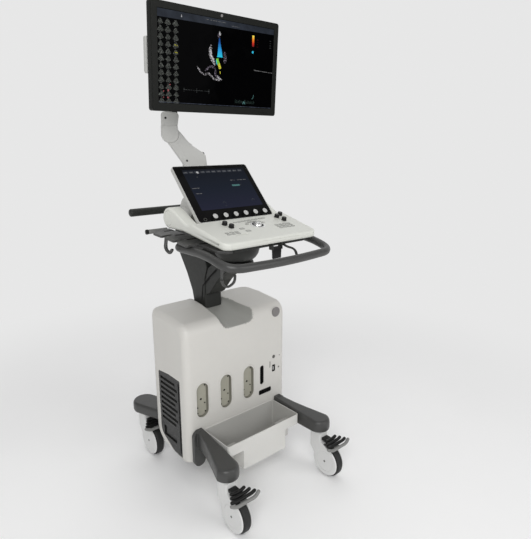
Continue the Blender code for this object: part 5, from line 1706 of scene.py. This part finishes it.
def studio_floor_look():
    """Pale matt paper that takes soft shadows near the machine and fades into an even backdrop."""
    made, tree, shader = new_look("studio_floor")
    place = add(tree, "ShaderNodeTexCoord").outputs["Object"]
    cloud = add(tree, "ShaderNodeTexNoise", Vector=place, Scale=1.4, Detail=6.0).outputs["Fac"]
    tone = spread(tree, cloud, 0.985, 1.015)
    shade = add(tree, "ShaderNodeVectorMath", {"operation": "SCALE"}, i0=srgb(255, 255, 255), Scale=tone)
    tree.links.new(shade.outputs[0], shader.inputs["Base Color"])
    tree.links.new(spread(tree, cloud, 0.55, 0.75), shader.inputs["Roughness"])
    shader.inputs["Specular IOR Level"].default_value = 0.1
    reach = add(tree, "ShaderNodeVectorMath", {"operation": "LENGTH"}, i0=place).outputs["Value"]
    limits = {"From_Min": 0.55, "From_Max": 2.4, "To_Min": 0.0, "To_Max": 1.0}
    fade = add(tree, "ShaderNodeMapRange", {"interpolation_type": "SMOOTHSTEP"}, Value=reach, **limits)
    light = add(tree, "ShaderNodeEmission", Color=(1, 1, 1, 1), Strength=BACKDROP)
    mix = add(tree, "ShaderNodeMixShader", Fac=fade.outputs["Result"])
    tree.links.new(shader.outputs[0], mix.inputs[1])
    tree.links.new(light.outputs[0], mix.inputs[2])
    tree.links.new(mix.outputs[0], tree.nodes["Material Output"].inputs["Surface"])
    return made


def make_stage():
    sweep = [(-9.0, 0.0), (4.6, 0.0)] + arc((4.6, 2.4), 2.4, -90, 0, 16) + [(7.0, 9.0)]
    builder = bmesh.new()
    turn = Matrix.Rotation(-CAMERA_YAW, 4, "Z")
    rows = [[builder.verts.new(turn @ Vector((x, y, z))) for y, z in sweep] for x in (-14.0, 14.0)]
    for i in range(len(sweep) - 1):
        builder.faces.new((rows[0][i], rows[1][i], rows[1][i + 1], rows[0][i + 1]))
    mesh = bpy.data.meshes.new("studio_sweep")
    builder.to_mesh(mesh)
    builder.free()
    mesh.shade_smooth()
    mesh.materials.append(studio_floor_look())
    floor = bpy.data.objects.new("studio_sweep", mesh)
    bpy.context.scene.collection.objects.link(floor)


def area_light(name, place, target, size, power, colour=(1, 1, 1)):
    lamp = bpy.data.lights.new(name, "AREA")
    lamp.shape = "RECTANGLE"
    lamp.size, lamp.size_y = size
    lamp.energy = power
    lamp.color = colour
    made = bpy.data.objects.new(name, lamp)
    made.location = place
    made.rotation_euler = (Vector(target) - Vector(place)).to_track_quat("-Z", "Y").to_euler()
    bpy.context.scene.collection.objects.link(made)


def make_light():
    world = bpy.data.worlds.new("studio")
    world.use_nodes = True
    shader = world.node_tree.nodes["Background"]
    shader.inputs["Color"].default_value = (1.0, 1.0, 1.0, 1)
    shader.inputs["Strength"].default_value = 0.31
    bpy.context.scene.world = world
    area_light("key", (-2.4, -2.6, 2.6), (0, 0, 0.7), (2.2, 2.2), 84)
    area_light("fill", (1.2, -3.6, 2.2), (0, 0, 0.7), (2.4, 2.4), 34)
    area_light("overhead", (0.2, 0.8, 4.2), (0, 0, 0.5), (3.0, 3.0), 26)


CAMERA_YAW = radians(41.1163)
CAMERA_PITCH = radians(14.3007)
CAMERA_PLACE = Vector((-1.0709, -1.3735, 1.2482))
CAMERA_LENS = 33.4


def make_camera():
    camera = bpy.data.cameras.new("camera")
    camera.lens = CAMERA_LENS
    camera.sensor_width = 36
    made = bpy.data.objects.new("camera", camera)
    made.location = CAMERA_PLACE + DATUM
    made.rotation_euler = (pi / 2 - CAMERA_PITCH, 0, -CAMERA_YAW)
    bpy.context.scene.collection.objects.link(made)
    bpy.context.scene.camera = made
    bpy.context.scene.view_settings.view_transform = "Standard"


def build():
    make_body()
    make_rear_cover()
    make_vents()
    make_ports()
    make_io_panel()
    make_bin()
    make_base()
    make_front_legs()
    make_casters()
    make_column()
    make_deck()
    make_deck_controls()
    make_handle()
    make_tray()
    make_touch_panel()
    make_arm()
    make_yoke()
    make_monitor()
    screen_looks()
    make_monitor_picture()
    make_touch_picture()
    dress_inside()
    make_stage()
    make_light()
    make_camera()


build()
